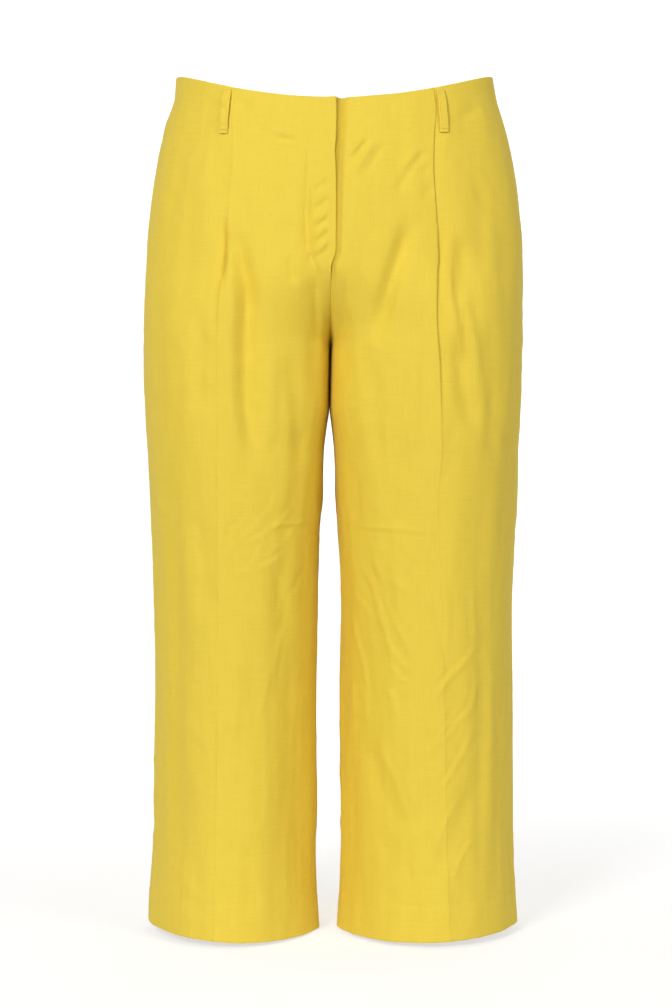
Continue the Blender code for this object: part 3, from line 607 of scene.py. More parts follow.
def crease_height(face, across, z):
    """Height of all the creases of one face, from each point's distance to the nearest path."""
    height = np.zeros(z.shape)
    for crease, run, steps, lengths, travelled in LAID_OUT[face]:
        reach = CREASE_REACH * crease.width
        near = ((across > run[:, 0].min() - reach) & (across < run[:, 0].max() + reach)
                & (z > run[:, 1].min() - reach) & (z < run[:, 1].max() + reach))
        if not near.any():
            continue
        spots = np.stack((across[near], z[near]), -1)[:, None]
        along = np.clip(((spots - run[:-1]) * steps).sum(-1) / lengths**2, 0.0, 1.0)
        away = spots - run[:-1] - along[..., None] * steps
        distance = np.linalg.norm(away, axis=-1)
        nearest = distance.argmin(axis=1)
        pick = (np.arange(len(nearest)), nearest)
        hand = np.sign(steps[nearest, 0] * away[pick][:, 1] - steps[nearest, 1] * away[pick][:, 0])
        beside = hand * distance[pick] / crease.width
        share = (travelled[nearest] + along[pick] * lengths[nearest]) / travelled[-1]
        shape = np.exp(-beside**2)
        if crease.lean:
            shape = shape - LEAN_SHARE * np.exp(-(beside - crease.lean * LEAN_PLACE) ** 2)
        fade = smooth(share / CREASE_FADE) * smooth((1.0 - share) / CREASE_FADE)
        height[near] += crease.height * fade * shape
    return height


def waves(point, ripples, dice):
    """A sum of waves. They depend on the place alone, so they run on across the seams."""
    height = np.zeros(point.shape[:-1])
    for _ in range(ripples.count):
        angle, phase = dice.uniform(0.0, math.tau, 2)
        pace = math.tau / (ripples.across * dice.uniform(*RIPPLE_SPREAD))
        fall = math.tau / (ripples.down * dice.uniform(*RIPPLE_SPREAD)) * dice.choice((-1.0, 1.0))
        wave = pace * (point[..., 0] * math.cos(angle) + point[..., 1] * math.sin(angle))
        height += math.sqrt(2.0 / ripples.count) * np.sin(wave + fall * point[..., 2] + phase)
    return height


def ripple_height(point):
    """Height of the ripples and of the net of crumples, which is stronger in some patches."""
    dice = np.random.default_rng(RIPPLE_SEED)
    height = sum(ripples.height * waves(point, ripples, dice) for ripples in RIPPLES)
    patch = smooth(waves(point, PATCHES, dice) * 0.5 + 0.5)
    for crumples in CRUMPLES:
        net = np.sqrt(waves(point, crumples, dice) ** 2 + CRUMPLE_EDGE**2)
        share = CRUMPLE_LEAST + (1.0 - CRUMPLE_LEAST) * patch
        height += crumples.height * (CRUMPLE_MEAN - net) * share
    return height


def fly_place(out, z):
    """How far a place lies beyond the lap's edge, where the recess grows narrower downwards; how
    high up the fly it is; and how strong the fly's relief is there."""
    high = 1.0 - smooth(-z / LAP_CURL_FADE)
    fade = 1.0 - smooth((UNDERLAP_END - z) / (UNDERLAP_END - FLY_RELIEF_END))
    width = RECESS_FOOT_WIDTH + (1.0 - RECESS_FOOT_WIDTH) * high
    return (out - np.maximum(0.0, FLY_LAP(z))) / width, high, fade


def fly_height(side, out, z):
    """Height of the fly: the right front is raised at its lap, the left one sinks under it."""
    beside, high, fade = fly_place(out, z)
    if side == "right":
        curl = LAP_CURL * high * (1.0 - smooth((out - LAP_CURL_START) / LAP_CURL_WIDTH))
        return (LAP_RAISE * (1.0 - smooth(out / LAP_RAISE_WIDTH)) + curl) * fade
    deep = RECESS_FOOT_DEPTH + (1.0 - RECESS_FOOT_DEPTH) * high
    sunk = UNDERLAP_DROP + RECESS_SINK * np.clip(beside / RECESS_FALL, 0.0, 1.0) * deep
    climbed = smooth((beside - RECESS_FALL) / RECESS_CLIMB)
    brim = RECESS_BRIM * climbed * (1.0 - smooth((beside - RECESS_FALL - RECESS_CLIMB) / BRIM_WIDTH))
    return -(sunk * (1.0 - climbed) + brim) * fade


def relief(side, point, turn, lowered):
    """How far the real surface stands out from the bare one. lowered is 0 on the centre-front side
    of a pleat and 1 beyond it."""
    x, z = point[..., 0], point[..., 2]
    facing = smooth((np.abs(np.sin(turn)) - RELIEF_START) / TURN_FADE)
    beyond = SIGN[side] * (x - PLEAT[side]["x"](z))
    ridge = PLEAT[side]["ridge"](z) * (1.0 - smooth(-beyond / PLEAT_REACH))
    drop = PLEAT[side]["drop"](z) * (1.0 - smooth(beyond / PLEAT_REACH))
    crest = PLEAT[side]["crest"](z) * np.exp(-np.abs(beyond) / CREST_WIDTH)
    front = ridge * (1.0 - lowered) - drop * lowered + crest + crease_height("front", x, z)
    strength = smooth((BACK_CREASE_TOP - z) / BACK_CREASE_FADE)
    crease = np.exp(-(((x - BACK_CREASE_X[side]) / BACK_CREASE_WIDTH) ** 2))
    back = BACK_CREASE_HEIGHT * strength * crease + crease_height("back", x, z)
    height = facing * np.where(np.sin(turn) >= 0.0, front, back)
    outer = smooth((-np.cos(turn) - SIDE_START) / TURN_FADE)
    height += outer * crease_height(side, point[..., 1], z)
    height += ripple_height(point) * (1.0 - WAIST_CALM * smooth((z - CALM_START) / CALM_FADE))
    out = SIGN[side] * (x - SIZE["middle"](z))
    touching = smooth((TOUCH_TOP - z) / TOUCH_FADE) * smooth((z - TOUCH_END) / TOUCH_FADE)
    height = height * (1.0 - touching * (1.0 - smooth((out - TOUCH_WIDTH) / TOUCH_WIDTH)))
    centre, _ = ring(side, z, True)
    hem_top = HEM_Z + HEM_TURN_UP + HEM_SLOPE[side] * (out - centre)
    pulled = np.exp(-(((z - hem_top) / HEM_STEP_FADE) ** 2)) * (1.0 + np.cos(turn * HEM_STITCHES))
    height += HEM_STEP * smooth((hem_top - z) / HEM_STEP_FADE) - HEM_DIMPLE * pulled
    fly = fly_height(side, out, z)
    return height + np.where((np.sin(turn) >= 0.0) & (z > FLY_RELIEF_END), fly, 0.0)


def dipped(side, level, turn):
    """The real height of a level: the top edge dips at the front, and each hem slopes. The dip
    depends on where the cloth is once it has dipped, so it is worked out twice."""
    z = level
    for _ in range(2):
        point = bare_point(side, z, turn)
        ahead = np.maximum(-point[..., 1], 0.0) / SIZE["front"](0.0)
        behind = np.maximum(point[..., 1], 0.0) / SIZE["back"](0.0)
        dip = BACK_RISE * behind**2 - FRONT_DIP * ahead**FRONT_DIP_POWER
        z = level + dip * (1.0 - smooth((TOP_Z - level) / DIP_FADE))
    centre, _ = ring(side, z, True)
    out = SIGN[side] * (point[..., 0] - SIZE["middle"](z)) - centre
    return z + HEM_SLOPE[side] * out * smooth((HEM_Z + HEM_SLOPE_LENGTH - level) / HEM_SLOPE_LENGTH)


def on_cloth(side, level, turn, lowered, raised):
    """Points of the cloth at a level and a turn, raised along its normals."""
    z = dipped(side, level, turn)
    point = bare_point(side, z, turn)
    height = relief(side, point, turn, lowered) + raised
    return point + outward(side, z, turn) * height[..., None]


# ---- Fronts and backs ---------------------------------------------------------------------------
# Four panels of plain-woven linen and viscose, cut with turnings. Every edge is folded under: the
# seams by their pressed turnings, the waist by its facing and the hems by their turn-ups.
CLOTH, FOLD_RADIUS = 0.5, 0.75
SEAM_TURNING, FACING, FLY_FACING, FLY_FACING_FADE = 11.0, 42.0, 36.0, 20.0
SEAM_GAP, DRAWN_IN, CROTCH_FADE = 0.04, 9.0, 4.0
# The width of the painted shade beside the lap's edge, and how far it fades out.
PAINTED_SHADE_WIDTH, PAINTED_SHADE_FADE = 5.0, 8.0
LEG_MIDDLE = 100.0
# The grid of a panel: its rows, and its columns on each side of the pleat or the pressed crease
ROWS, FOLD_STEPS, UNDER_ROWS, UNDER_COLUMNS = 365, 6, 12, 4
INSIDE_PLEAT, OUTSIDE_PLEAT, INSIDE_CREASE, OUTSIDE_CREASE = 54, 34, 52, 38
CROWDING, MOST_CROWDING = 0.9, 5.0


def folded_under(under, under_steps):
    """The way of cloth round an edge and back beneath itself, from its raw end to the fold's start:
    how far it lies inside the edge's outermost line, and how deep."""
    arc = np.linspace(math.pi, 0.0, FOLD_STEPS + 1)
    inside = FOLD_RADIUS * (1.0 - np.sin(arc))
    depth = FOLD_RADIUS * (1.0 - np.cos(arc))
    raw = np.linspace(1.0, 0.0, under_steps, endpoint=False)
    return (np.concatenate((FOLD_RADIUS + raw * under, inside)),
            np.concatenate((np.full(under_steps, 2.0 * FOLD_RADIUS), depth)))


def spaced(start, end, shares):
    """Columns at these shares of the run from start to end, which are given for each row."""
    return start[:, None] + (end - start)[:, None] * shares


def crowded(start, whole_end, end, shares):
    """Columns from start to end that keep the even places of a run to whole_end as long as they
    can, and draw together only near the seam that cuts the run short."""
    whole, cut = (whole_end - start)[:, None], (whole_end - end)[:, None]
    power = np.clip(CROWDING * np.abs(whole) / np.maximum(np.abs(cut), 1e-6), 1.0, MOST_CROWDING)
    return start[:, None] + whole * shares - cut * shares**power


def across_front(side, levels, girths):
    """Distances round the sections of a front's columns, from its inner edge to its outseam, with
    how deep each lies under the surface and whether it is lowered by the pleat."""
    zero, half = np.zeros_like(levels), np.full_like(levels, math.pi)
    lap = FLY_LAP(levels)
    out = np.full_like(levels, SEAM_GAP / 2.0)
    if side == "right":
        out = np.where(levels > LAP_END, -lap, out)
    else:
        under = smooth((levels - UNDERLAP_END) / UNDERLAP_FADE)
        out = out + (np.maximum(lap, 0.0) - UNDERLAP - out) * under
    first = np.where(levels > CROTCH_Z, girths.length(turn_at(side, levels, True, out)),
                     girths.length(zero) + SEAM["inseam"](levels) + SEAM_GAP / 2.0)
    last = girths.length(half) - SEAM["outseam"](levels) - SEAM_GAP / 2.0
    pleat_out = np.abs(PLEAT[side]["x"](levels) - SIZE["middle"](levels))
    pleat = girths.length(turn_at(side, levels, True, pleat_out))
    # A turning keeps the shape of its fold, and only the run beneath is longer at the fly.
    inner_under = np.full_like(levels, SEAM_TURNING)
    if side == "right":
        inner_under += (FLY_FACING - SEAM_TURNING) * smooth((levels - UNDERLAP_END) / FLY_FACING_FADE)
    inside, depth = folded_under(1.0, UNDER_COLUMNS)
    stretch = np.where(np.arange(len(inside)) < UNDER_COLUMNS, inside - FOLD_RADIUS, 0.0)
    inside = np.where(stretch > 0.0, FOLD_RADIUS, inside)
    inner = first[:, None] + inside + stretch * inner_under[:, None]
    outer = last[:, None] - (inside + stretch * SEAM_TURNING)[::-1]
    way = np.array(PLEAT_WAY)
    fold = PLEAT[side]["fold"](levels)[:, None]
    pleated = pleat[:, None] + way[:, 0] * (1.0 - fold) + way[:, 1] * fold
    shares = np.linspace(0.0, 1.0, INSIDE_PLEAT + 1)[1:-1]
    main = crowded(pleat + way[0, 0], girths.length(zero), first + FOLD_RADIUS, shares)[:, ::-1]
    shares = np.linspace(0.0, 1.0, OUTSIDE_PLEAT + 1)[1:-1]
    side_run = spaced(pleat + way[-1, 0], last - FOLD_RADIUS, shares)
    before, beyond = main.shape[1], side_run.shape[1]
    lengths = np.concatenate((inner, main, pleated, side_run, outer), axis=1)
    deep = np.concatenate((depth, np.zeros(before + len(way) + beyond), depth[::-1]))
    lowered = np.concatenate((np.zeros(len(depth) + before), way[:, 2], np.ones(beyond + len(depth))))
    return lengths, deep, lowered


def across_back(side, levels, girths):
    """The same for a back, from its outseam to the centre back or its inseam."""
    half, whole = np.full_like(levels, math.pi), np.full_like(levels, math.tau)
    first = girths.length(half) - SEAM["outseam"](levels) + SEAM_GAP / 2.0
    out = np.full_like(levels, SEAM_GAP / 2.0)
    last = np.where(levels > CROTCH_Z, girths.length(turn_at(side, levels, False, out)),
                    girths.length(whole) + SEAM["inseam"](levels) - SEAM_GAP / 2.0)
    crease_out = np.abs(BACK_CREASE_X[side] - SIZE["middle"](levels))
    crease = girths.length(turn_at(side, levels, False, crease_out))
    inside, depth = folded_under(SEAM_TURNING, UNDER_COLUMNS)
    outer = first[:, None] + inside
    inner = last[:, None] - inside[::-1]
    shares = np.linspace(0.0, 1.0, OUTSIDE_CREASE + 1)[1:]
    side_run = spaced(first + FOLD_RADIUS, crease, shares)
    shares = np.linspace(0.0, 1.0, INSIDE_CREASE + 1)[1:-1]
    main = crowded(crease, girths.length(whole), last - FOLD_RADIUS, shares)
    lengths = np.concatenate((outer, side_run, main, inner), axis=1)
    deep = np.concatenate((depth, np.zeros(side_run.shape[1] + main.shape[1]), depth[::-1]))
    return lengths, deep, np.zeros(len(deep))


def panel_points(side, across):
    """The rows and columns of points of a front or back of one leg, in metres, laid on the cloth's
    form, and how much painted shade each takes in the recess beside the lap."""
    in_front = across is across_front
    facing, facing_depth = folded_under(FACING, UNDER_ROWS)
    turn_up, turn_up_depth = folded_under(HEM_TURN_UP, UNDER_ROWS)
    middle = np.linspace(TOP_Z - FOLD_RADIUS, HEM_Z + FOLD_RADIUS, ROWS + 1)[1:-1]
    levels = np.concatenate((TOP_Z - facing, middle, HEM_Z + turn_up[::-1]))
    row_depth = np.concatenate((facing_depth, np.zeros(len(middle)), turn_up_depth[::-1]))
    girths = Girths(side, levels)
    lengths, column_depth, lowered = across(side, levels, girths)
    turns = girths.turn(lengths)
    deep = row_depth[:, None] + column_depth[None, :]
    level = np.broadcast_to(levels[:, None], turns.shape)
    points = on_cloth(side, level, turns, np.broadcast_to(lowered, turns.shape), -deep)
    # Sewn up, each row's edge meets the middle plane, except where the fly laps.
    out = SIGN[side] * (points[..., 0] - SIZE["middle"](points[..., 2]))
    edge = out.min(axis=1, keepdims=True)
    lapped = smooth((levels - UNDERLAP_END) / UNDERLAP_FADE + 0.5) if in_front else 0.0
    sewn = smooth((levels - CROTCH_Z) / CROTCH_FADE) * (1.0 - lapped)
    drawn = (edge - SEAM_GAP / 2.0) * sewn[:, None] * np.exp(-np.maximum(out - edge, 0.0) / DRAWN_IN)
    points[..., 0] -= SIGN[side] * drawn
    # Painted shade: the left front is coloured darker in the recess beside the lap, where the lap's
    # shadow falls.
    beside, _, fade = fly_place(out, points[..., 2])
    painted_shade = fade * (1.0 - smooth((beside - PAINTED_SHADE_WIDTH) / PAINTED_SHADE_FADE))
    painted_shade *= 1.0 if in_front and side == "left" else 0.0
    return points * MM, painted_shade


def distances(points):
    """How far along a line of points each of them lies."""
    return np.cumsum(np.linalg.norm(np.diff(points, axis=0, prepend=points[:1]), axis=1))


def panel(name, side, points, painted_shade):
    """A panel of cloth through those points, with a map of its own."""
    rows, columns = painted_shade.shape
    grid = bmesh.new()
    grid.loops.layers.uv.new("cloth_map")
    bmesh.ops.create_grid(grid, x_segments=columns - 1, y_segments=rows - 1, size=1.0)
    mesh = bpy.data.meshes.new(name)
    grid.to_mesh(mesh)
    grid.free()
    spots = np.empty(len(mesh.vertices) * 3)
    mesh.vertices.foreach_get("co", spots)
    spots = spots.reshape(-1, 3)
    column = np.rint((spots[:, 0] + 1.0) / 2.0 * (columns - 1)).astype(int)
    row = np.rint((1.0 - spots[:, 1]) / 2.0 * (rows - 1)).astype(int)
    mesh.vertices.foreach_set("co", points[row, column].ravel())
    # The cloth's own map is in metres, along its weft and its warp.
    weft, warp = distances(points[rows // 2]), distances(points[:, columns // 2])
    corners = np.empty(len(mesh.loops), int)
    mesh.loops.foreach_get("vertex_index", corners)
    places = np.stack((weft[column[corners]], -warp[row[corners]]), -1)
    mesh.uv_layers[0].data.foreach_set("uv", places.ravel())
    # The painted shade is kept on the points for the cloth's material.
    shades = mesh.attributes.new("painted_shade", "FLOAT", "POINT")
    shades.data.foreach_set("value", painted_shade[row, column].ravel())
    mesh.update()
    # The faces point away from the middle of the leg.
    centre = Vector(mesh.polygons[len(mesh.polygons) // 2].center)
    leg = Vector((SIGN[side] * LEG_MIDDLE * MM, 0.0, centre.z))
    if mesh.polygons[len(mesh.polygons) // 2].normal.dot(centre - leg) < 0.0:
        mesh.flip_normals()
    mesh.shade_smooth()
    piece = bpy.data.objects.new(name, mesh)
    scene.collection.objects.link(piece)
    wall = piece.modifiers.new("cloth", "SOLIDIFY")
    wall.thickness = CLOTH * MM
    wall.offset = -1.0
    return piece


def streaks(where, along, across, seed, detail):
    """Long thin streaks of a given length and breadth in metres, from 0 to 1."""
    placed = where.node("ShaderNodeMapping", {"Vector": where, "Location": (seed, seed, 0.0),
                                              "Scale": (1.0 / along, 1.0 / across, 1.0)})
    return where.node("ShaderNodeTexNoise", {"Vector": placed, "Scale": 1.0, "Detail": detail,
                                             "Roughness": 0.55}, noise_dimensions="2D")


# The cloth is woven from uneven linen and viscose yarns: thick places show as short pale or dark
# streaks along the weft and the warp. Beside the lap the colour is darkened to a deeper yellow:
# painted shade that stands in for the shadow the lap casts on its recess.
YARN, YARN_RELIEF, SLUB_RELIEF = 0.0007, 0.00005, 0.00009
SLUB_TONE, STREAK_TONE = 0.38, 0.12
LIT_YARN, PLAIN_YARN = (0.850, 0.634, 0.066, 1.0), (0.833, 0.616, 0.061, 1.0)
DEEP_YARN, PAINTED_SHADE_YARN = (0.812, 0.596, 0.055, 1.0), (0.690, 0.490, 0.040, 1.0)
linen, cloth_shader, nodes = new_material("yellow_linen", Specular_IOR_Level=0.3, Sheen_Weight=0.14,
                                          Sheen_Tint=(1.0, 0.88, 0.45, 1.0), Sheen_Roughness=0.4)
where = nodes.node("ShaderNodeUVMap", {}, output="UV", uv_map="cloth_map")
slubs = (streaks(where, along=0.024, across=0.0010, seed=0.0, detail=1.0)
         + streaks(where, along=0.0010, across=0.032, seed=7.0, detail=1.0))
long_streaks = (streaks(where, along=0.09, across=0.0030, seed=13.0, detail=2.0)
                + streaks(where, along=0.0034, across=0.16, seed=17.0, detail=2.0))
weft_place = where.node("ShaderNodeSeparateXYZ", {"Vector": where}, output="X")
warp_place = where.node("ShaderNodeSeparateXYZ", {"Vector": where}, output="Y")
weave = (weft_place * (math.pi / YARN)).math("SINE") * (warp_place * (math.pi / YARN)).math("SINE")
tone = slubs * SLUB_TONE + long_streaks * STREAK_TONE
spread = tone.node("ShaderNodeValToRGB", {"Fac": tone}, stops=(
    (0.36, DEEP_YARN), (0.5, PLAIN_YARN), (0.64, LIT_YARN)))
# Painted shade: a deeper yellow mixed in beside the lap, standing in for the lap's shadow.
painted_shade_in = nodes.node("ShaderNodeAttribute", {}, output="Fac", attribute_name="painted_shade")
painted_shade_in.mix(spread, PAINTED_SHADE_YARN).feed(cloth_shader.inputs["Base Color"])
(tone * 0.2 + 0.7).feed(cloth_shader.inputs["Roughness"])
bumps = weave * YARN_RELIEF + slubs * SLUB_RELIEF
raised = bumps.node("ShaderNodeBump", {"Height": bumps, "Strength": 0.6, "Distance": 1.0})
raised.feed(cloth_shader.inputs["Normal"])

# What each was cut to: its greatest width and length with turnings, and its area, in metres
Cut = namedtuple("Cut", "face across width length area")
CUTS = (Cut("front", across_front, 0.345, 0.985, 0.268), Cut("back", across_back, 0.420, 1.000, 0.338))
for side in ("right", "left"):
    for cut in CUTS:
        cloth = panel(f"cloth_{cut.face}_{side}", side, *panel_points(side, cut.across))
        cloth.data.materials.append(linen)
        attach(cloth, "root")
        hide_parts(f"{cut.face}_{side}")


# ---- Belt loops ---------------------------------------------------------------------------------
# Five loops of a folded strip, three layers thick. The top end is caught in the facing's seam, and
# the lower end is folded under and barred down.
LOOP_WIDTH, LOOP_THICKNESS, LOOP_EDGE = 8.4, 1.1, 0.42
LOOP_SEAT, LOOP_BOW, LOOP_RISE = 0.25, 2.0, 0.3
LOOP_END, LOOP_END_FADE, LOOP_END_LAYER = 6.5, 1.2, 0.8
Loop = namedtuple("Loop", "name ahead top_x top_z bottom_x bottom_z")
LOOPS = (
    Loop("loop_front_right", True, -109.2, -5.6, -112.8, -53.4),
    Loop("loop_front_left", True, 107.4, -6.2, 110.6, -52.3),
    Loop("loop_back_right", False, -104.0, 22.5, -106.0, -23.5),
    Loop("loop_back_centre", False, -1.5, 24.8, -1.5, -21.5),
    Loop("loop_back_left", False, 104.0, 22.5, 106.0, -23.5),
)
# Across this width, the cloth under a loop or a stitch comes down from a pleat's fold.
PLEAT_STEP = 2.4


def on_face(ahead, x, z):
    """Points and unit normals of the finished cloth at x and z on the front or the back."""
    x, z = np.broadcast_arrays(np.asarray(x, float), np.asarray(z, float))
    found = {}
    for side in ("right", "left"):
        turn = turn_at(side, z, ahead, np.abs(x - SIZE["middle"](z)))
        point = bare_point(side, z, turn)
        normal = outward(side, z, turn)
        beyond = SIGN[side] * (x - PLEAT[side]["x"](z))
        height = relief(side, point, turn, smooth(beyond / PLEAT_STEP + 0.5))
        found[side] = (point + normal * height[..., None], normal)
    on_left = (x >= SIZE["middle"](z))[..., None]
    return tuple(np.where(on_left, left, right) for left, right in zip(found["left"], found["right"]))


def strip_block(width, thickness, length, edge, across_cuts, along_cuts):
    """A flat strip with rounded edges, cut finely enough to bend: x across, y out and z along."""
    block = bmesh.new()
    bmesh.ops.create_cube(block, size=1.0)
    bmesh.ops.scale(block, verts=block.verts[:], vec=(width, thickness, length))
    bmesh.ops.bevel(block, geom=block.edges[:], offset=edge, segments=2, profile=0.5, affect="EDGES",
                    material=-1)
    for axis, cuts, extent in (((1.0, 0.0, 0.0), across_cuts, width),
                               ((0.0, 0.0, 1.0), along_cuts, length)):
        for place in np.linspace(-extent / 2 + edge, extent / 2 - edge, cuts + 2)[1:-1]:
            bmesh.ops.bisect_plane(block, geom=block.verts[:] + block.edges[:] + block.faces[:],
                                   plane_co=Vector(axis) * place, plane_no=axis)
    return block


def map_strip(strip):
    """The strip's own cloth map, in metres across and along it."""
    layer = strip.loops.layers.uv.new("cloth_map")
    for strip_face in strip.faces:
        for corner in strip_face.loops:
            corner[layer].uv = (corner.vert.co.x * MM, corner.vert.co.z * MM)


def moved_to(shape, places):
    """Puts a shape's vertices at these places, which are in millimetres."""
    for vertex, place in zip(shape.verts, places * MM):
        vertex.co = place


def finished(name, shape, material):
    """A piece in the scene from a shape whose vertices are already in metres."""
    bmesh.ops.recalc_face_normals(shape, faces=shape.faces[:])
    mesh = bpy.data.meshes.new(name)
    shape.to_mesh(mesh)
    shape.free()
    mesh.shade_smooth()
    mesh.set_sharp_from_angle(angle=math.radians(50.0))
    mesh.materials.append(material)
    piece = bpy.data.objects.new(name, mesh)
    scene.collection.objects.link(piece)
    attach(piece, "root")
    return piece


def loop_length(loop):
    return math.hypot(loop.bottom_x - loop.top_x, loop.bottom_z - loop.top_z)


def loop_place(loop, across, along):
    """The cloth's point and normal under a place on a loop, along from its top, in millimetres."""
    run = Vector((loop.bottom_x - loop.top_x, loop.bottom_z - loop.top_z))
    share = along / run.length
    x = loop.top_x + run.x * share - across * run.y / run.length
    z = loop.top_z + run.y * share + across * run.x / run.length
    return on_face(loop.ahead, x, z)


def loop_lift(loop, along):
    """How far the underside of a loop stands off the cloth."""
    share = np.clip(along / loop_length(loop), 0.0, 1.0)
    return LOOP_SEAT + LOOP_BOW * smooth(share / LOOP_RISE) * smooth((1.0 - share) / LOOP_RISE)


def loop_doubled(loop, along):
    """1 on the lower end, which is folded under and stands a layer higher, and 0 above it."""
    return smooth((along - (loop_length(loop) - LOOP_END)) / LOOP_END_FADE)


for loop in LOOPS:
    strip = strip_block(LOOP_WIDTH, LOOP_THICKNESS, loop_length(loop), LOOP_EDGE,
                        across_cuts=5, along_cuts=36)
    map_strip(strip)
    spots = np.array([v.co for v in strip.verts])
    along = loop_length(loop) / 2.0 - spots[:, 2]
    base, normal = loop_place(loop, spots[:, 0], along)
    out = loop_lift(loop, along) + spots[:, 1] + LOOP_THICKNESS / 2.0
    thick = (spots[:, 1] + LOOP_THICKNESS / 2.0) / LOOP_THICKNESS
    out += loop_doubled(loop, along) * thick * LOOP_END_LAYER
    moved_to(strip, base + normal * out[:, None])
    piece = finished(loop.name, strip, linen)
    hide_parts(f"belt_{loop.name}")


# ---- Stitching ----------------------------------------------------------------------------------
# Polyester thread in the cloth's own yellow: the fly's curved topstitching, two rows on each loop,
# and the bars that hold the loops down.
THREAD, STITCH, STITCH_GAP, STITCH_RISE = 0.34, 2.3, 0.5, 0.35
THREAD_PALE, THREAD_DEEP = (0.88, 0.70, 0.11, 1.0), (0.80, 0.60, 0.06, 1.0)
thread, thread_shader, nodes = new_material("yellow_thread", Sheen_Weight=0.1)
where = nodes.node("ShaderNodeTexCoord", {}, output="Object")
twist = where.node("ShaderNodeTexWave", {"Vector": where, "Scale": 900.0, "Distortion": 1.5},
                   bands_direction="DIAGONAL")
(twist * 0.6).mix(THREAD_PALE, THREAD_DEEP).feed(thread_shader.inputs["Base Color"])
(twist * 0.2 + 0.45).feed(thread_shader.inputs["Roughness"])


def sew(shape, start, end, normal):
    """One stitch between two points, rounded and sunk at its ends, all in millimetres."""
    start, end, normal = Vector(start), Vector(end), Vector(normal)
    run = end - start
    place = run.to_track_quat("Z", "X").to_matrix().to_4x4()
    place.translation = (start + end) / 2.0 + normal * THREAD * STITCH_RISE
    made = bmesh.ops.create_uvsphere(shape, u_segments=6, v_segments=5, radius=1.0)["verts"]
    bmesh.ops.scale(shape, verts=made, vec=(THREAD, THREAD, run.length / 2.0))
    bmesh.ops.transform(shape, verts=made, matrix=place)


def sew_along(shape, points, normals):
    """Stitches at an even pitch along a line of points."""
    lengths = distances(points)
    pitch = STITCH + STITCH_GAP
    for k in range(int(lengths[-1] / pitch)):
        ends = [np.array([np.interp(k * pitch + step, lengths, points[:, i]) for i in range(3)])
                for step in (0.0, STITCH)]
        normal = [np.interp(k * pitch, lengths, normals[:, i]) for i in range(3)]
        sew(shape, ends[0], ends[1], normal)


def in_metres(shape):
    bmesh.ops.scale(shape, verts=shape.verts[:], vec=(MM, MM, MM))
    return shape


# The fly's topstitching runs down beside the lap, turns in a quarter round and ends at its edge.
FLY_STITCH_TOP, FLY_STITCH_FOOT, FLY_STITCH_END = (-29.5, -70.0), (-28.0, -172.0), (-3.0, -201.5)
down = np.linspace(0.0, 1.0, 30)
bend = np.linspace(0.0, math.pi / 2.0, 24)[1:]
x, z = (np.interp(down, (0.0, 1.0), ends) for ends in zip(FLY_STITCH_TOP, FLY_STITCH_FOOT))
x = np.concatenate((x, FLY_STITCH_END[0] + (FLY_STITCH_FOOT[0] - FLY_STITCH_END[0]) * np.cos(bend)))
z = np.concatenate((z, FLY_STITCH_FOOT[1] + (FLY_STITCH_END[1] - FLY_STITCH_FOOT[1]) * np.sin(bend)))
stitching = bmesh.new()
sew_along(stitching, *on_face(True, x, z))
finished("fly_stitching", in_metres(stitching), thread)

# Each bar is a row of stitches side by side, at a place from the loop's top or from its lower end.
ROW_INSET, BAR_INSET, BAR_STEP, BAR_REACH = 1.5, 0.4, 0.75, 0.9
TOP_BAR, LOWER_BAR = 2.0, 4.2
stitching = bmesh.new()
for loop in LOOPS:
    length = loop_length(loop)
    along = np.linspace(ROW_INSET, length - ROW_INSET, 40)
    for across in (-LOOP_WIDTH / 2.0 + ROW_INSET, LOOP_WIDTH / 2.0 - ROW_INSET):
        base, normal = loop_place(loop, np.full_like(along, across), along)
        out = loop_lift(loop, along) + LOOP_THICKNESS + LOOP_END_LAYER * loop_doubled(loop, along)
        sew_along(stitching, base + normal * out[:, None], normal)
    for bar, layer in ((TOP_BAR, 0.0), (length - LOWER_BAR, LOOP_END_LAYER)):
        for across in np.arange(-LOOP_WIDTH / 2.0 + BAR_INSET, LOOP_WIDTH / 2.0 - BAR_INSET, BAR_STEP):
            ends = []
            for step in (-BAR_REACH, BAR_REACH):
                base, normal = loop_place(loop, np.array(across), np.array(bar + step))
                ends.append(base + normal * (loop_lift(loop, bar) + LOOP_THICKNESS + layer))
            sew(stitching, ends[0], ends[1], normal)
finished("loop_stitching", in_metres(stitching), thread)


# ---- Fly shield, zip, slider and hook -----------------------------------------------------------
# Behind the lap lie a nylon coil zip on two woven tapes, the shield that backs it, and a flat steel
# hook at the waist. All follow the bare surface of the fronts at their own depth.
Inlay = namedtuple("Inlay", "x0 x1 top bottom depth thickness")
SHIELD = Inlay(-26.0, 12.0, -22.0, -189.0, 6.8, 0.9)
ZIP = Inlay(-21.0, 5.0, -36.0, -180.0, 5.3, 0.5)
SLIDER = Inlay(-15.0, -8.7, -38.0, -47.0, 2.5, 2.2)
HOOK = Inlay(-5.5, 1.0, -24.0, -33.0, 1.3, 0.9)


def behind_front(x, z, depth):
    """Points at a depth behind the bare surface of the fronts. x is from the middle plane."""
    found = {}
    for side in ("right", "left"):
        turn = turn_at(side, z, True, np.abs(x))
        found[side] = bare_point(side, z, turn) - outward(side, z, turn) * depth[..., None]
    return np.where((x >= 0.0)[..., None], found["left"], found["right"])


def lay_behind(shape, inlay, depth):
    """Bends a shape, modelled with x across, y out and z up round its own centre, behind the fly."""
    spots = np.array([v.co for v in shape.verts])
    x = (inlay.x0 + inlay.x1) / 2.0 + spots[:, 0]
    z = (inlay.top + inlay.bottom) / 2.0 + spots[:, 2]
    moved_to(shape, behind_front(x, z, depth - spots[:, 1]))


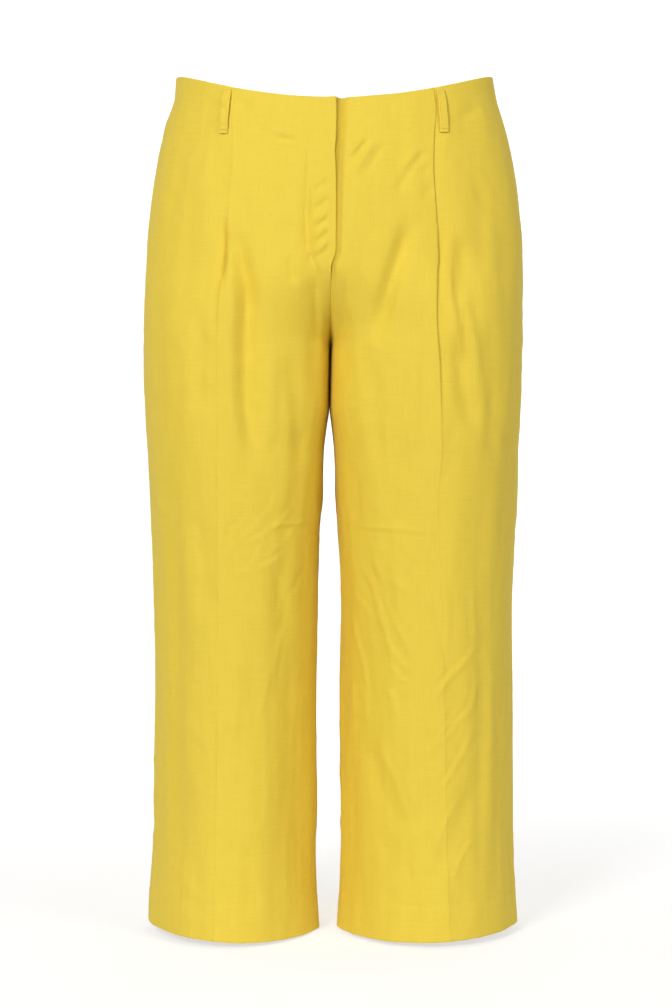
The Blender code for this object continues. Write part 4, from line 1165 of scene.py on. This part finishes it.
def add_to(shape, part):
    """Adds a part to a shape, and frees the part."""
    mesh = bpy.data.meshes.new("part")
    part.to_mesh(mesh)
    part.free()
    shape.from_mesh(mesh)
    bpy.data.meshes.remove(mesh)


shield = strip_block(SHIELD.x1 - SHIELD.x0, SHIELD.thickness, SHIELD.top - SHIELD.bottom, edge=0.35,
                     across_cuts=12, along_cuts=40)
map_strip(shield)
lay_behind(shield, SHIELD, SHIELD.depth + SHIELD.thickness / 2.0)
shield = finished("shield", shield, linen)
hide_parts("fly_shield")

TAPE_WIDTH, TAPE_APART, TAPE_BEHIND = 12.2, 0.4, 0.9
TAPE_PALE, TAPE_DEEP = (0.76, 0.58, 0.08, 1.0), (0.66, 0.49, 0.05, 1.0)
tape_cloth, tape_shader, nodes = new_material("zip_tape", Roughness=0.7)
where = nodes.node("ShaderNodeTexCoord", {}, output="Object")
ribs = where.node("ShaderNodeTexWave", {"Vector": where, "Scale": 260.0, "Distortion": 0.4},
                  bands_direction="X")
ribs.mix(TAPE_PALE, TAPE_DEEP).feed(tape_shader.inputs["Base Color"])
ribs_up = ribs.node("ShaderNodeBump", {"Height": ribs, "Strength": 0.3, "Distance": 0.0002})
ribs_up.feed(tape_shader.inputs["Normal"])
tapes = bmesh.new()
for place in (-1.0, 1.0):
    tape = strip_block(TAPE_WIDTH, ZIP.thickness, ZIP.top - ZIP.bottom, edge=0.15,
                       across_cuts=2, along_cuts=24)
    aside = place * (TAPE_WIDTH / 2.0 + TAPE_APART)
    bmesh.ops.translate(tape, verts=tape.verts[:], vec=(aside, 0.0, 0.0))
    add_to(tapes, tape)
lay_behind(tapes, ZIP, ZIP.depth + TAPE_BEHIND)
tapes = finished("zip_tapes", tapes, tape_cloth)
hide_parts("fly_zip")

# The coil of stiff nylon is sewn along the inner edges of the tapes. Each of its turns is a bead.
COIL_WIDTH, COIL_PITCH, COIL_BEHIND, COIL_TOP, COIL_ENDS = 4.0, 1.25, 0.4, 5.0, 8.0
BEAD = (COIL_WIDTH / 2.6, 0.55, 0.42)
COIL_PALE, COIL_DEEP = (0.78, 0.60, 0.09, 1.0), (0.70, 0.52, 0.06, 1.0)
nylon, nylon_shader, nodes = new_material("zip_coil", Roughness=0.35)
where = nodes.node("ShaderNodeTexCoord", {}, output="Object")
wear = where.node("ShaderNodeTexNoise", {"Vector": where, "Scale": 300.0})
wear.mix(COIL_PALE, COIL_DEEP).feed(nylon_shader.inputs["Base Color"])
coil = bmesh.new()
for k in range(int((ZIP.top - ZIP.bottom - COIL_ENDS) / COIL_PITCH)):
    height = ZIP.top - COIL_TOP - k * COIL_PITCH - (ZIP.top + ZIP.bottom) / 2.0
    for place in (-1.0, 1.0):
        made = bmesh.ops.create_uvsphere(coil, u_segments=6, v_segments=4, radius=1.0)["verts"]
        bmesh.ops.scale(coil, verts=made, vec=BEAD)
        bmesh.ops.translate(coil, verts=made, vec=(place * COIL_WIDTH / 4.0, 0.0,
                                                   height + place * COIL_PITCH / 4.0))
lay_behind(coil, ZIP, ZIP.depth + COIL_BEHIND)
finished("zip_teeth", coil, nylon)

STEEL_PALE, STEEL_DEEP = (0.70, 0.69, 0.66, 1.0), (0.52, 0.51, 0.49, 1.0)
steel, steel_shader, nodes = new_material("satin_steel", Metallic=1.0)
where = nodes.node("ShaderNodeTexCoord", {}, output="Object")
brushed = where.node("ShaderNodeTexNoise", {"Vector": where, "Scale": 900.0, "Detail": 3.0})
brushed.mix(STEEL_PALE, STEEL_DEEP).feed(steel_shader.inputs["Base Color"])
(brushed * 0.25 + 0.25).feed(steel_shader.inputs["Roughness"])

# The slider narrows towards its foot, and its pull hangs flat on it.
SLIDER_FOOT, SLIDER_GAIN, SLIDER_TAPER = 0.72, 0.28, 6.0
PULL_WIDTH, PULL_THICKNESS, PULL_LENGTH, PULL_OFF, PULL_LOW = 3.0, 0.6, 7.0, 0.1, 1.0
slider_length = SLIDER.top - SLIDER.bottom
slider = strip_block(SLIDER.x1 - SLIDER.x0, SLIDER.thickness, slider_length, edge=0.6,
                     across_cuts=3, along_cuts=6)
for vertex in slider.verts:
    vertex.co.x *= SLIDER_FOOT + SLIDER_GAIN * smooth((vertex.co.z + slider_length / 2.0) / SLIDER_TAPER)
pull = strip_block(PULL_WIDTH, PULL_THICKNESS, PULL_LENGTH, edge=0.25, across_cuts=2, along_cuts=4)
bmesh.ops.translate(pull, verts=pull.verts[:], vec=(0.0, SLIDER.thickness / 2.0 + PULL_OFF, -PULL_LOW))
add_to(slider, pull)
lay_behind(slider, SLIDER, SLIDER.depth + SLIDER.thickness / 2.0)
slider = finished("slider", slider, steel)
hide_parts("zip_slider")

hook = strip_block(HOOK.x1 - HOOK.x0, HOOK.thickness, HOOK.top - HOOK.bottom, edge=0.3,
                   across_cuts=6, along_cuts=8)
lay_behind(hook, HOOK, HOOK.depth + HOOK.thickness / 2.0)
hook = finished("hook", hook, steel)
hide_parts("waist_hook")
